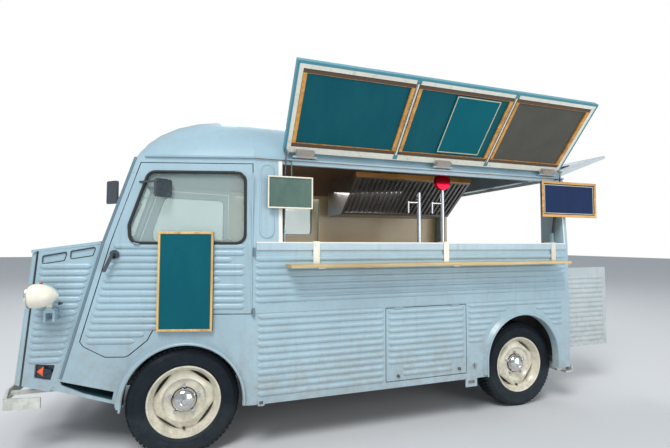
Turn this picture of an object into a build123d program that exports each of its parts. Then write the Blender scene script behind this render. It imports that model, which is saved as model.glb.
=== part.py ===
"""Food truck on a vintage corrugated-steel delivery van.

Drawn in millimetres from the point on the ground below the middle of the front axle:
x towards the back, y towards the vehicle's right, z up. The left side, with the serving
hatch, faces -y. Every finished piece is then moved to the middle of the footprint.
"""

import os
from math import atan2, cos, degrees, hypot, radians, sin, sqrt, tan

from build123d import *

os.makedirs("parts", exist_ok=True)

# Body: one width, one lower edge and one waist tie the panels together
body_half = 985
body_bottom = 293
waist_seam_z = 855
sill_z = 1290
eaves_z = 1835
eaves_lean = 33
roof_rise = 430
pillar_x = 395
rear_overhang = 445
wall = 30
panel_gap = 6
roof_sheet = 24

# Cab: the sides taper towards the front, the front pillar leans back
cab_taper = 16
pillar_top_x = -325
knee_x = -497
knee_z = 1295
foot_x = -722
foot_z = 450
header_drop = 30

# Pressed ribs
rib_height = 8
rib_width = 27
rib_flank = 50
rib_corner = 8
body_rib_pitch = 43.4
door_rib_pitch = 41.6
nose_rib_pitch = 40.6

# Wheels and axles
wheelbase = 2530
tyre_radius = 328
axle_z = tyre_radius
tyre_width = 185
rim_radius = 218
bead_radius = 205
front_track = 1622
rear_track = 1640
kingpin_y = front_track / 2 - 50
front_arch_radius = 345
rear_arch_radius = 335
flare_width = 50
body_end_x = wheelbase + rear_overhang

# Nose
nose_taper = 9
nose_root_half = 692
nose_front_top_x = -900
nose_front_top_z = 1225
nose_front_low_x = -968
nose_front_low_z = 446
nose_seam = 42
nose_sheet = 16

# Serving hatch, its opening and what hangs there
opening_start_x = 577
opening_end_x = body_end_x - 40
opening_top_z = eaves_z - 23
sill_sheet = 12
hatch_length = 605
hatch_thickness = 46
hatch_standoff = 37
hatch_open_deg = 50
hinge_y = -(body_half - 10)
hinge_z = eaves_z + 27
hatch_end_gap = 8

# Rear end
rear_opening_half = 740
rear_sill_z = 360
rear_split_z = 1081
rear_top_z = 1876
rear_door_open_deg = 90
tailgate_open_deg = 110
rear_panel = 28

# Floor and chassis
floor_z = 410
floor_sheet = 20
rail_y = 410
rail_width = 70
rail_height = 86

# Front bumper
bumper_front_x = -1063

# Sliding door on the right
slide_clear = 34
slide_sheet = 24

tail_reach = (rear_top_z - rear_split_z) * sin(radians(tailgate_open_deg)) + 22
hatch_open = radians(hatch_open_deg)
hatch_reach = -hinge_y + hatch_length * cos(hatch_open) - hatch_standoff * sin(hatch_open)
right_reach = body_half + slide_clear + slide_sheet + rib_height
footprint_middle_x = (bumper_front_x + body_end_x + tail_reach) / 2
footprint_middle_y = (right_reach - hatch_reach) / 2


def write_piece(piece, name):
    """Move a finished piece to the middle of the footprint, label it and write it."""
    placed = piece.part.moved(Location((-footprint_middle_x, -footprint_middle_y, 0)))
    placed.label = name
    export_step(placed, f"parts/{name}.step")
    print(f"{name:22s} solids {len(placed.solids()):2d}  volume {placed.volume / 1e6:9.3f} l")


def block(x_range, y_range, z_range, mode=Mode.ADD):
    """A box between two places along each axis, in the part that is open."""
    low = [min(pair) for pair in (x_range, y_range, z_range)]
    size = [abs(pair[1] - pair[0]) for pair in (x_range, y_range, z_range)]
    with Locations(tuple(low)):
        Box(*size, align=(Align.MIN, Align.MIN, Align.MIN), mode=mode)


def side_prism(points, y_from, y_to):
    """The prism of a closed side-view outline of (x, z) points, between two widths."""
    near, far = min(y_from, y_to), max(y_from, y_to)
    with BuildPart() as prism:
        with BuildSketch(Plane.XZ.offset(-far)):
            Polygon(*points, align=None)
        extrude(amount=far - near)
    return prism.part


def front_prism(points, x_from, x_to):
    """The prism of a closed front-view outline of (y, z) points, between two lengths."""
    with BuildPart() as prism:
        with BuildSketch(Plane.YZ.offset(min(x_from, x_to))):
            Polygon(*points, align=None)
        extrude(amount=abs(x_to - x_from))
    return prism.part


def plan_prism(points, z_from, z_to):
    """The prism of a closed plan outline of (x, y) points, between two heights."""
    with BuildPart() as prism:
        with BuildSketch(Plane.XY.offset(min(z_from, z_to))):
            Polygon(*points, align=None)
        extrude(amount=abs(z_to - z_from))
    return prism.part


def disc(centre, radius, length, axis="Y", mode=Mode.ADD):
    """A round bar centred on a point, along one of the axes, in the part that is open."""
    turn = {"X": (0, 90, 0), "Y": (90, 0, 0), "Z": (0, 0, 0)}[axis]
    with Locations(Location(centre, turn)):
        Cylinder(radius, length, mode=mode)


def ribs_on(plane, rows):
    """Pressed ribs on a plane, from rows of height, start and end along the plane."""
    with BuildSketch(plane, mode=Mode.PRIVATE) as outline:
        for height, start, end in rows:
            low, high = height - rib_width / 2, height + rib_width / 2
            Polygon(
                (start, low + rib_corner),
                (start + rib_corner, low),
                (end - rib_corner, low),
                (end, low + rib_corner),
                (end, high - rib_corner),
                (end - rib_corner, high),
                (start + rib_corner, high),
                (start, high - rib_corner),
                align=None,
            )
    extrude(outline.sketch, amount=rib_height, taper=rib_flank)


def mirrored(piece):
    """The same piece on the other side of the vehicle."""
    return mirror(piece, about=Plane.XZ, mode=Mode.PRIVATE)


def cab_half(x, z=sill_z):
    """Half width of the cab's outer skin at a length and height."""
    lean = eaves_lean * max(0, z - sill_z) / (eaves_z - sill_z)
    return body_half - (pillar_x - x) * tan(radians(cab_taper)) - lean


def pillar_line(z):
    """Length at which the cab's leaning front pillar stands, by height."""
    if z > knee_z:
        return knee_x + (pillar_top_x - knee_x) * (z - knee_z) / (eaves_z - knee_z)
    return foot_x + (knee_x - foot_x) * (z - foot_z) / (knee_z - foot_z)


def nose_half(x):
    """Half width of the nose's outer skin at a length."""
    return nose_root_half - (knee_x - x) * tan(radians(nose_taper))


def nose_front(z):
    """Length of the nose's front face by height."""
    share = (z - nose_front_low_z) / (nose_front_top_z - nose_front_low_z)
    return nose_front_low_x + (nose_front_top_x - nose_front_low_x) * share


cab_plane = Plane(
    origin=(pillar_x, -body_half, 0),
    x_dir=(cos(radians(cab_taper)), -sin(radians(cab_taper)), 0),
    z_dir=(-sin(radians(cab_taper)), -cos(radians(cab_taper)), 0),
)
nose_plane = Plane(
    origin=(knee_x, -nose_root_half, 0),
    x_dir=(cos(radians(nose_taper)), -sin(radians(nose_taper)), 0),
    z_dir=(-sin(radians(nose_taper)), -cos(radians(nose_taper)), 0),
)


def along_cab(x):
    """Distance along the cab's side plane for a length."""
    return (x - pillar_x) / cos(radians(cab_taper))


def along_nose(x):
    """Distance along the nose's side plane for a length."""
    return (x - knee_x) / cos(radians(nose_taper))


# Arch outlines in side view: centre, opening radius and how low the legs run
front_arch_x = -5
front_arch_z = 330
rear_arch_x = wheelbase - 45
rear_arch_z = 404


def arch_face(plane, centre_x, centre_z, radius):
    """Face of a round-headed arch with straight legs down to the ground."""
    with BuildSketch(plane, mode=Mode.PRIVATE) as face:
        with BuildLine():
            Line((centre_x - radius, 0), (centre_x - radius, centre_z))
            ThreePointArc(
                (centre_x - radius, centre_z), (centre_x, centre_z + radius), (centre_x + radius, centre_z)
            )
            Line((centre_x + radius, centre_z), (centre_x + radius, 0))
            Line((centre_x + radius, 0), (centre_x - radius, 0))
        make_face()
    return face.sketch


def arch_prism(centre_x, centre_z, radius, y_from, y_to):
    """A round-headed opening in side view with straight legs, between two widths."""
    face = arch_face(Plane.XZ.offset(-max(y_from, y_to)), centre_x, centre_z, radius)
    with BuildPart() as prism:
        extrude(face, amount=abs(y_to - y_from))
    return prism.part


def flare(centre_x, centre_z, radius, skin_half, lip_half, leg_bottom):
    """The rolled lip of a left wheel arch, narrowing from the skin out to the lip."""
    with BuildPart() as ring:
        loft(
            [
                arch_face(Plane.XZ.offset(skin_half), centre_x, centre_z, radius + flare_width),
                arch_face(Plane.XZ.offset(lip_half), centre_x, centre_z, radius + 14),
            ],
            ruled=True,
        )
        add(arch_prism(centre_x, centre_z, radius, -skin_half + 10, -lip_half - 10), mode=Mode.SUBTRACT)
        block((centre_x - 2 * radius, centre_x + 2 * radius), (-2000, 0), (-5, leg_bottom), Mode.SUBTRACT)
    return ring.part


# Cab shell: tapered sides and a leaning front, hollow, open to the load space and below
def cab_volume(inset, bottom):
    """The cab's closed outer form, or its cavity when inset by the wall."""
    side_inset = inset / cos(radians(cab_taper))
    front_limit_x = -1100
    levels = [(bottom, 0), (sill_z, 0), (eaves_z + inset / 10, eaves_lean)]
    with BuildPart() as form:
        for (low_z, low_lean), (high_z, high_lean) in zip(levels, levels[1:]):
            for level_z, lean in ((low_z, low_lean), (high_z, high_lean)):
                front_half = cab_half(front_limit_x) - side_inset - lean
                back_half = cab_half(pillar_x) - side_inset - lean
                with BuildSketch(Plane.XY.offset(level_z)):
                    Polygon(
                        (front_limit_x, -front_half),
                        (pillar_x, -back_half),
                        (pillar_x, back_half),
                        (front_limit_x, front_half),
                        align=None,
                    )
            loft(ruled=True)
    return form.part


front_slope = cos(atan2(knee_x - foot_x, knee_z - foot_z))
cab_profile = [
    (pillar_x, body_bottom),
    (pillar_x, eaves_z + 5),
    (pillar_top_x, eaves_z + 5),
    (knee_x, knee_z),
    (foot_x, foot_z),
    (foot_x - 40, foot_z - 46),
    (front_arch_x - front_arch_radius - flare_width, body_bottom + 20),
    (front_arch_x - front_arch_radius - flare_width, body_bottom),
]
front_wall_run = wall / front_slope
cavity_profile = [
    (pillar_x + 5, body_bottom - 60),
    (pillar_x + 5, eaves_z + 60),
    (pillar_top_x + front_wall_run + 20, eaves_z + 60),
    (knee_x + front_wall_run, knee_z),
    (foot_x + front_wall_run, foot_z),
    (foot_x + front_wall_run, body_bottom - 60),
]

cab_outer = cab_volume(0, body_bottom - 40) & side_prism(cab_profile, -1200, 1200)
cab_cavity = cab_volume(wall, body_bottom - 90) & side_prism(cavity_profile, -1200, 1200)
cab_walls = cab_outer - cab_cavity

# Door outline in side view, from the rear top corner round by the front edge and the toe
door_top_z = 1798
door_rear_x = pillar_x - 10
door_front_gap = 52
toe_z = 598
toe_front_x = -462
toe_back_x = -350
front_arch_clear = front_arch_radius + flare_width + 32
door_outline = [
    (door_rear_x, door_top_z),
    (pillar_line(door_top_z) + door_front_gap, door_top_z),
    (pillar_line(knee_z) + door_front_gap, knee_z),
    (pillar_line(690) + door_front_gap, 690),
    (pillar_line(690) + door_front_gap + 22, 660),
    (toe_front_x, toe_z),
    (toe_back_x, toe_z),
    (front_arch_x - front_arch_clear * sin(radians(50)), front_arch_z + front_arch_clear * cos(radians(50))),
    (front_arch_x - front_arch_clear * sin(radians(31)), front_arch_z + front_arch_clear * cos(radians(31))),
    (-168, waist_seam_z - 45),
    (-60, waist_seam_z - 6),
    (40, waist_seam_z),
    (door_rear_x, waist_seam_z),
]
window_top_z = 1742
window_low_z = 1292
window_rear_x = 342
window_front_gap = 118
window_outline = [
    (window_rear_x, window_top_z),
    (pillar_line(window_top_z) + window_front_gap, window_top_z),
    (pillar_line(window_low_z + 110) + window_front_gap, window_low_z + 110),
    (pillar_line(window_low_z) + window_front_gap + 45, window_low_z),
    (window_rear_x, window_low_z),
]


def grown_outline(points, y_from, y_to, amount):
    """The prism of a side-view outline grown by a gap all round."""
    with BuildPart() as prism:
        with BuildSketch(Plane.XZ.offset(-max(y_from, y_to))):
            Polygon(*points, align=None)
            offset(amount=amount, kind=Kind.INTERSECTION)
        extrude(amount=abs(y_to - y_from))
    return prism.part


def rounded_outline(points, y_from, y_to, radius):
    """The prism of a side-view outline with its corners rounded."""
    with BuildPart() as prism:
        with BuildSketch(Plane.XZ.offset(-max(y_from, y_to))) as outline:
            Polygon(*points, align=None)
            fillet(outline.vertices(), radius)
        extrude(amount=abs(y_to - y_from))
    return prism.part


door_cut = grown_outline(door_outline, -1200, -300, panel_gap)
window_cut = rounded_outline(window_outline, -1200, -300, 55)
door_solid = (cab_walls & side_prism(door_outline, -1200, -300)) - window_cut

# Left door: ribs in rows of height, start and end; two stop short of the catch
door_rib_base_z = 898
door_rib_end = 332
door_rib_rows = []
for row in range(-5, 10):
    height = door_rib_base_z + row * door_rib_pitch
    start = pillar_line(height) + door_front_gap + 30
    end = door_rib_end
    if height < waist_seam_z + 10:
        drop = min(height - rib_width - front_arch_z, front_arch_clear)
        end = front_arch_x - sqrt((front_arch_clear + 12) ** 2 - drop**2) - 15
    if row == 7:
        end = door_rib_end - 75
    if row == 4:
        end = door_rib_end - 145
    if height < 700:
        start = start + (700 - height) * 0.9
    door_rib_rows.append((height, along_cab(start), along_cab(min(end, door_rib_end))))

door_hinge_x = door_rear_x
door_hinge_y = -body_half + 3
with BuildPart() as cab_door_left:
    add(door_solid)
    ribs_on(cab_plane, door_rib_rows)
    with BuildSketch(Plane.XY.offset(door_top_z - 60)):
        with Locations((door_hinge_x, door_hinge_y)):
            Circle(5)
    extrude(amount=-(door_top_z - 60 - waist_seam_z - 20), mode=Mode.ADD)

handle_x = -418
handle_z = 1222
handle_hang_deg = 66


def door_mirror(root_x, arm_z, head_x, head_out, head_z, width, height):
    """Mirror of the left door: an arm from the window frame and a turned head."""
    tip_y = cab_half(head_x, head_z) + head_out
    lean_in = 5 if head_x > root_x else -5
    arm_plan = [
        (root_x - 12, -cab_half(root_x - 12, arm_z - 6) - 0.3),
        (root_x + 12, -cab_half(root_x + 12, arm_z - 6) - 0.3),
        (head_x + 5, -tip_y + lean_in),
        (head_x - 5, -tip_y - lean_in),
    ]
    turn = radians(mirror_turn)
    head_plane = Plane(
        origin=(head_x, -tip_y, head_z),
        x_dir=(cos(turn), sin(turn), 0),
        z_dir=(sin(turn), -cos(turn), 0),
    )
    with BuildPart() as fitting:
        add(plan_prism(arm_plan, arm_z - 6, arm_z + 6))
        with BuildSketch(head_plane.offset(-10)):
            RectangleRounded(width, height, 18)
        extrude(amount=20)
    return fitting.part


mirror_turn = 45
with BuildPart() as door_handle_left:
    handle_base = rib_height + 0.3
    with BuildSketch(cab_plane.offset(handle_base)):
        with Locations((along_cab(handle_x), handle_z)):
            Circle(27)
    extrude(amount=12)
    with BuildSketch(cab_plane.offset(handle_base + 12)):
        with Locations((along_cab(handle_x), handle_z)):
            Circle(9)
    extrude(amount=22)
    with BuildSketch(cab_plane.offset(handle_base + 30)):
        with Locations(Location((along_cab(handle_x - 22), handle_z - 50, 0), (0, 0, handle_hang_deg))):
            SlotOverall(124, 18)
    extrude(amount=11)

with BuildPart() as door_fittings_left:
    add(door_handle_left.part)
    add(door_mirror(-283, 1676, -147, 60, 1631, 120, 113))
with BuildPart() as door_fittings_right:
    add(mirrored(door_handle_left.part))
    add(mirrored(door_mirror(-285, 1730, -709, 214, 1778, 150, 222)))

glass_mid = wall / 2
glass_sheet = 5
glass_outside = cab_volume(glass_mid - glass_sheet / 2, body_bottom)
glass_inside = cab_volume(glass_mid + glass_sheet / 2, body_bottom - 10)
with BuildPart() as door_glass_left:
    add(glass_outside - glass_inside)
    add(window_cut, mode=Mode.INTERSECT)

door_board_low_z = 752
door_board_high_z = 1362
door_board_front_x = -164
door_board_rear_x = 160
with BuildPart() as door_board:
    with BuildSketch(cab_plane.offset(rib_height + 0.3)):
        with Locations(
            (
                along_cab((door_board_front_x + door_board_rear_x) / 2),
                (door_board_low_z + door_board_high_z) / 2,
            )
        ):
            Rectangle(
                along_cab(door_board_rear_x) - along_cab(door_board_front_x),
                door_board_high_z - door_board_low_z,
            )
    extrude(amount=16)

# Fixed cab shell: walls less the doors, with arch flares, pillars and the windscreen openings
pane_outer_y = 655
pane_inner_y = 18
pane_low_z = 1345
pane_high_z = 1782
pane_outline = [
    (-pane_outer_y - 25, pane_low_z),
    (-pane_inner_y, pane_low_z),
    (-pane_inner_y, pane_high_z),
    (-pane_outer_y + 12, pane_high_z),
]
pane_cut = front_prism(pane_outline, -800, -150)
front_flare_lip = body_half - 45
cab_flare = flare(
    front_arch_x, front_arch_z, front_arch_radius, body_half - 290, front_flare_lip + 40, body_bottom + 25
)
lip_slope = 9
lip_plane_cut = plan_prism(
    [
        (pillar_x - 5, -body_half - 8),
        (-900, -body_half - 8 + (pillar_x + 900) * tan(radians(lip_slope))),
        (-900, -1500),
        (pillar_x + 200, -1500),
        (pillar_x + 200, -body_half - 8),
    ],
    0,
    1200,
)
flare_left = (cab_flare - lip_plane_cut) - cab_cavity
front_arch_cut = arch_prism(front_arch_x, front_arch_z, front_arch_radius, -1300, -600)
flare_trim = side_prism([(pillar_x, 0), (pillar_x, 1200), (900, 1200), (900, 0)], -1300, -500)
# Entry step: a recess in the side under the door, over a sloping tread
step_inner = 560
step_front = (foot_x - 40, foot_z - 46)
step_back = (front_arch_x - front_arch_radius - flare_width, body_bottom + 20)
step_sheet = 18
step_recess = side_prism(
    [
        (foot_x + 6, foot_z + 4),
        (step_back[0] - 6, step_back[1] + 75),
        (step_back[0] - 16, step_back[1] + 24),
        (step_back[0] - 95, step_back[1] + 31),
        (foot_x + 20, foot_z - 22),
    ],
    -1000,
    -step_inner,
)
step_tread = [
    step_front,
    step_back,
    (step_back[0], step_back[1] + step_sheet),
    (step_front[0] + step_sheet, step_front[1] + step_sheet),
]
with BuildPart() as cab_shell:
    add(cab_walls)
    for half in (1, -1):
        cuts = [door_cut, pane_cut, front_arch_cut]
        for cut in cuts:
            add(cut if half == 1 else mirrored(cut), mode=Mode.SUBTRACT)
    for half in (1, -1):
        lip = flare_left - flare_trim
        add(lip if half == 1 else mirrored(lip))
    block((-900, -600), (-step_inner, step_inner), (0, foot_z), Mode.SUBTRACT)
    for cut in (step_recess, mirrored(step_recess)):
        add(cut, mode=Mode.SUBTRACT)
    for half in (1, -1):
        tread = side_prism(step_tread, -1000, -step_inner) & cab_outer
        add(tread if half == 1 else mirrored(tread))

glass_tilt_run = front_wall_run / 2
pane_strip = [
    (pillar_top_x + glass_tilt_run - 3, eaves_z),
    (knee_x + glass_tilt_run - 3, knee_z),
    (knee_x + glass_tilt_run + 3, knee_z),
    (pillar_top_x + glass_tilt_run + 3, eaves_z),
]
pane_left = side_prism(pane_strip, -900, 0) & pane_cut
with BuildPart() as windscreen:
    add(pane_left)
    add(mirrored(pane_left))

# Roofs: an elliptical section, lofted down to the windscreen header over the cab
def roof_face(plane, half_width, rise, inset):
    """Roof section on a plane: tight shoulders and a flat crown, inset by the sheet."""
    width = half_width - inset
    height = rise - inset
    shoulder = (0.602 * width, eaves_z + 0.7655 * height)
    bend = (0.8332 * width, eaves_z + 0.4644 * height)
    with BuildSketch(plane, mode=Mode.PRIVATE) as face:
        with BuildLine():
            ThreePointArc((-width, eaves_z), (-bend[0], bend[1]), (-shoulder[0], shoulder[1]))
            ThreePointArc((-shoulder[0], shoulder[1]), (0, eaves_z + height), shoulder)
            ThreePointArc(shoulder, bend, (width, eaves_z))
            Line((width, eaves_z), (-width, eaves_z))
        make_face()
    return face.sketch


# Cab roof stations: length, rise of the crown above the eaves
cab_roof_stations = [
    (pillar_x, roof_rise),
    (210, 421),
    (60, 398),
    (-80, 352),
    (-190, 286),
    (-265, 206),
    (-308, 120),
    (pillar_top_x, 34),
]


def cab_roof_form(inset):
    """The lofted form of the cab's roof."""
    with BuildPart() as form:
        faces = []
        for x, rise in cab_roof_stations:
            depth = min(inset, rise / 2)
            faces.append(roof_face(Plane.YZ.offset(x + depth - inset / 2), cab_half(x, eaves_z), rise, depth))
        loft(faces, ruled=True)
    return form.part


gutter_depth = 12
gutter_height = 14


def gutter(x_from, x_to):
    """Left rain gutter: an upturned lip along the foot of the roof."""
    with BuildPart() as lip:
        for x in (x_from, x_to):
            half = cab_half(min(x, pillar_x), eaves_z)
            with BuildSketch(Plane.YZ.offset(x)):
                Polygon(
                    (-half + 3, eaves_z),
                    (-half - gutter_depth, eaves_z + 3),
                    (-half - gutter_depth, eaves_z + gutter_height),
                    (-half - gutter_depth + 4, eaves_z + gutter_height),
                    (-half + 3, eaves_z + 6),
                    align=None,
                )
        loft(ruled=True)
    return lip.part


with BuildPart() as cab_roof:
    add(cab_roof_form(0))
    add(cab_roof_form(roof_sheet), mode=Mode.SUBTRACT)
    for half in (1, -1):
        lip = gutter(pillar_top_x + 60, pillar_x - 1)
        add(lip if half == 1 else mirrored(lip))

load_roof_plane = Plane.YZ.offset(pillar_x)
with BuildPart() as load_roof:
    extrude(
        roof_face(load_roof_plane, body_half - eaves_lean, roof_rise, 0),
        amount=body_end_x - pillar_x,
    )
    extrude(
        roof_face(load_roof_plane, body_half - eaves_lean, roof_rise, roof_sheet),
        amount=body_end_x - pillar_x,
        mode=Mode.SUBTRACT,
    )
    for half in (1, -1):
        lip = gutter(pillar_x, body_end_x)
        add(lip if half == 1 else mirrored(lip))

# Load-space side walls: one leaning section, with openings, arch, seams and ribs
wall_section = [
    (-body_half, body_bottom),
    (-body_half, sill_z),
    (-body_half + eaves_lean, eaves_z),
    (-body_half + eaves_lean + wall, eaves_z),
    (-body_half + wall, sill_z),
    (-body_half + wall, body_bottom),
]
side_end_x = body_end_x - wall
locker_end_x = rear_arch_x - rear_arch_radius - flare_width - 128
locker_start_x = locker_end_x - 666
locker_low_z = 335
locker_high_z = waist_seam_z - 8
rear_arch_cut = arch_prism(rear_arch_x, rear_arch_z, rear_arch_radius, -1300, -800)
rear_flare = flare(
    rear_arch_x, rear_arch_z, rear_arch_radius, body_half - wall / 2, body_half + 26, body_bottom + 20
)
plain_side = front_prism(wall_section, pillar_x, side_end_x)
seam = 3

# Pilaster before the opening, with one tall pressed panel on the leaning upper wall
wall_lean = atan2(eaves_lean, eaves_z - sill_z)
upper_plane = Plane(
    origin=(0, -body_half, sill_z),
    x_dir=(1, 0, 0),
    z_dir=(0, -cos(wall_lean), sin(wall_lean)),
)
pill_x = 477
pill_width = 103
pill_low_z = 1320
pill_high_z = eaves_z - 22
pill_rise = 7


def rib_rows(first_z, count, start, end, pitch=body_rib_pitch):
    """Rows of equal ribs, one pitch apart, downwards from the first."""
    return [(first_z - row * pitch, start, end) for row in range(count)]


upper_rib_z = 934 + 6 * body_rib_pitch
lower_rib_z = 833
side_plane = Plane.XZ.offset(body_half)
arch_rib_clear = rear_arch_radius + flare_width + 18
upper_rows = rib_rows(upper_rib_z, 7, pillar_x + 22, side_end_x - 12)
front_rows = rib_rows(lower_rib_z, 12, pillar_x + 40, locker_start_x - 20)
arch_rows = []
for row in range(12):
    height = lower_rib_z - row * body_rib_pitch
    drop = abs(height - rib_width / 2 - rear_arch_z)
    if height < rear_arch_z:
        drop = 0
    reach = sqrt(max(0, arch_rib_clear**2 - drop**2))
    before = rear_arch_x - reach
    after = rear_arch_x + reach
    if reach == 0:
        arch_rows.append((height, locker_end_x + 24, side_end_x - 55))
        continue
    if before - locker_end_x > 90 and row < 7:
        arch_rows.append((height, locker_end_x + 24, before))
    if side_end_x - after > 110 and row < 6:
        arch_rows.append((height, after, side_end_x - 55))

with BuildPart() as side_left:
    add(plain_side)
    add(rear_arch_cut, mode=Mode.SUBTRACT)
    block(
        (opening_start_x, opening_end_x),
        (-body_half - 50, -body_half + 200),
        (sill_z, opening_top_z),
        Mode.SUBTRACT,
    )
    block(
        (locker_start_x, locker_end_x),
        (-body_half - 50, -body_half + 200),
        (locker_low_z, locker_high_z),
        Mode.SUBTRACT,
    )
    add(rear_flare)
    ribs_on(side_plane, upper_rows + front_rows + arch_rows)
    block(
        (pillar_x + 10, side_end_x),
        (-body_half, -body_half + 2),
        (waist_seam_z - seam, waist_seam_z),
        Mode.SUBTRACT,
    )
    with BuildSketch(upper_plane):
        with Locations((pill_x, (pill_low_z + pill_high_z) / 2 - sill_z)):
            SlotOverall(pill_high_z - pill_low_z, pill_width, rotation=90)
    extrude(amount=pill_rise, taper=rib_flank)
    with BuildSketch(upper_plane.offset(pill_rise - 3)):
        with Locations((pill_x, (pill_low_z + pill_high_z) / 2 - sill_z)):
            SlotOverall(pill_high_z - pill_low_z - 4 * pill_rise, pill_width - 4 * pill_rise, rotation=90)
    extrude(amount=5, mode=Mode.SUBTRACT)

# Trim of the serving opening: sill board, outer rail and the two jamb strips
jamb_width = 25
jamb_section = [
    (-body_half - 3.3, sill_z),
    (-body_half + eaves_lean - 3.3, eaves_z - 4),
    (-body_half + eaves_lean - 0.3, eaves_z - 4),
    (-body_half - 0.3, sill_z),
]
with BuildPart() as serving_sill:
    block(
        (opening_start_x + 2, opening_end_x - 2),
        (-body_half - 8, -body_half + 180),
        (sill_z + 0.3, sill_z + sill_sheet),
    )
    block(
        (pillar_x + 17, opening_end_x + 10),
        (-body_half - 8.3, -body_half - 0.3),
        (sill_z - 40, sill_z + sill_sheet),
    )
    add(front_prism(jamb_section, opening_start_x - jamb_width, opening_start_x - 0.3))
    add(front_prism(jamb_section, opening_end_x + 0.3, opening_end_x + 10))

locker_rows = rib_rows(lower_rib_z - 14, 11, locker_start_x + 30, locker_end_x - 30)
locker_hinge_y = -body_half - 5
locker_hinge_z = locker_high_z - panel_gap
locker_barrel = 5
with BuildPart() as locker_flap_left:
    block(
        (locker_start_x + panel_gap, locker_end_x - panel_gap),
        (-body_half, -body_half + wall),
        (locker_low_z + panel_gap, locker_high_z - panel_gap),
    )
    ribs_on(side_plane, locker_rows[:9])
    ribs_on(side_plane, [(z, a + 110, b - 110) for z, a, b in locker_rows[9:]])
    for hinge_at in (locker_start_x + 100, locker_end_x - 100):
        disc((hinge_at, locker_hinge_y, locker_hinge_z), locker_barrel, 70, "X")

slide_start_x = pillar_x + 60
slide_end_x = 1395
slide_low_z = 350
slide_high_z = 1800
right_plane = Plane(origin=(0, body_half, 0), x_dir=(-1, 0, 0), z_dir=(0, 1, 0))


def right_rows(rows):
    """The same rows on the right-hand side plane, whose own x runs forwards."""
    return [(z, -b, -a) for z, a, b in rows]


slide_plane = Plane(origin=(0, body_half + slide_clear + slide_sheet, 0), x_dir=(-1, 0, 0), z_dir=(0, 1, 0))
slide_travel = 820
slide_window_low_z = 1388
slide_window_high_z = 1740
rail_gap = 5
rail_depth = 16
low_rail_end_x = rear_arch_x - rear_arch_radius - flare_width - 20
# columns: height, start, end, where the door's hangers stand on it
slide_rail_table = [
    (1228, slide_end_x - 90, slide_end_x + slide_travel + 60, [slide_end_x - 50]),
    (slide_low_z - 14, slide_start_x - 20, low_rail_end_x, [slide_start_x + 50, slide_end_x - 300]),
]
slide_window = [
    (slide_start_x + 90, slide_window_low_z),
    (slide_end_x - 62, slide_window_low_z),
    (slide_end_x - 62, slide_window_high_z),
    (slide_start_x + 90, slide_window_high_z),
]
slide_window_cut = rounded_outline(slide_window, body_half - 40, body_half + 90, 40)
with BuildPart() as side_right:
    add(mirrored(plain_side))
    add(mirrored(rear_arch_cut), mode=Mode.SUBTRACT)
    block(
        (slide_start_x, slide_end_x),
        (body_half - 200, body_half + 50),
        (slide_low_z, slide_high_z),
        Mode.SUBTRACT,
    )
    add(mirrored(rear_flare))
    ribs_on(right_plane, right_rows(rib_rows(upper_rib_z, 7, slide_end_x + 60, side_end_x - 12)))
    lower_rows = rib_rows(lower_rib_z, 11, slide_end_x + 60, locker_end_x - 10)
    ribs_on(right_plane, right_rows(lower_rows + arch_rows))
    for rail_z, rail_start, rail_end, hangers in slide_rail_table:
        block(
            (rail_start, rail_end),
            (body_half - 2, body_half + slide_clear - rail_gap),
            (rail_z, rail_z + rail_depth),
        )

with BuildPart() as sliding_door_right:
    block(
        (slide_start_x - 25, slide_end_x + 25),
        (body_half + slide_clear, body_half + slide_clear + slide_sheet),
        (slide_low_z - 15, slide_high_z + 15),
    )
    ribs_on(slide_plane, right_rows(rib_rows(upper_rib_z, 7, slide_start_x + 20, slide_end_x - 20)))
    ribs_on(slide_plane, right_rows(rib_rows(lower_rib_z, 11, slide_start_x + 20, slide_end_x - 20)))
    add(slide_window_cut, mode=Mode.SUBTRACT)
    for rail_z, rail_start, rail_end, hangers in slide_rail_table:
        for hanger_x in hangers:
            block(
                (hanger_x - 30, hanger_x + 30),
                (body_half + slide_clear - rail_gap + 0.5, body_half + slide_clear),
                (rail_z, rail_z + rail_depth),
            )

slide_glass_mid = body_half + slide_clear + slide_sheet / 2
with BuildPart() as slide_glass:
    block(
        (slide_start_x, slide_end_x),
        (slide_glass_mid - 2.5, slide_glass_mid + 2.5),
        (slide_window_low_z - 20, slide_window_high_z + 20),
    )
    add(slide_window_cut, mode=Mode.INTERSECT)

# Rear frame: the end wall with one opening
rear_section = [
    (-body_half, body_bottom),
    (-body_half, sill_z),
    (-body_half + eaves_lean, eaves_z),
    (body_half - eaves_lean, eaves_z),
    (body_half, sill_z),
    (body_half, body_bottom),
]
with BuildPart() as rear_frame:
    add(front_prism(rear_section, side_end_x, body_end_x))
    extrude(
        roof_face(Plane.YZ.offset(side_end_x), body_half - eaves_lean, roof_rise, roof_sheet),
        amount=body_end_x - side_end_x,
    )
    block(
        (side_end_x - 10, body_end_x + 10),
        (-rear_opening_half, rear_opening_half),
        (rear_sill_z, rear_top_z),
        Mode.SUBTRACT,
    )

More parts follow.
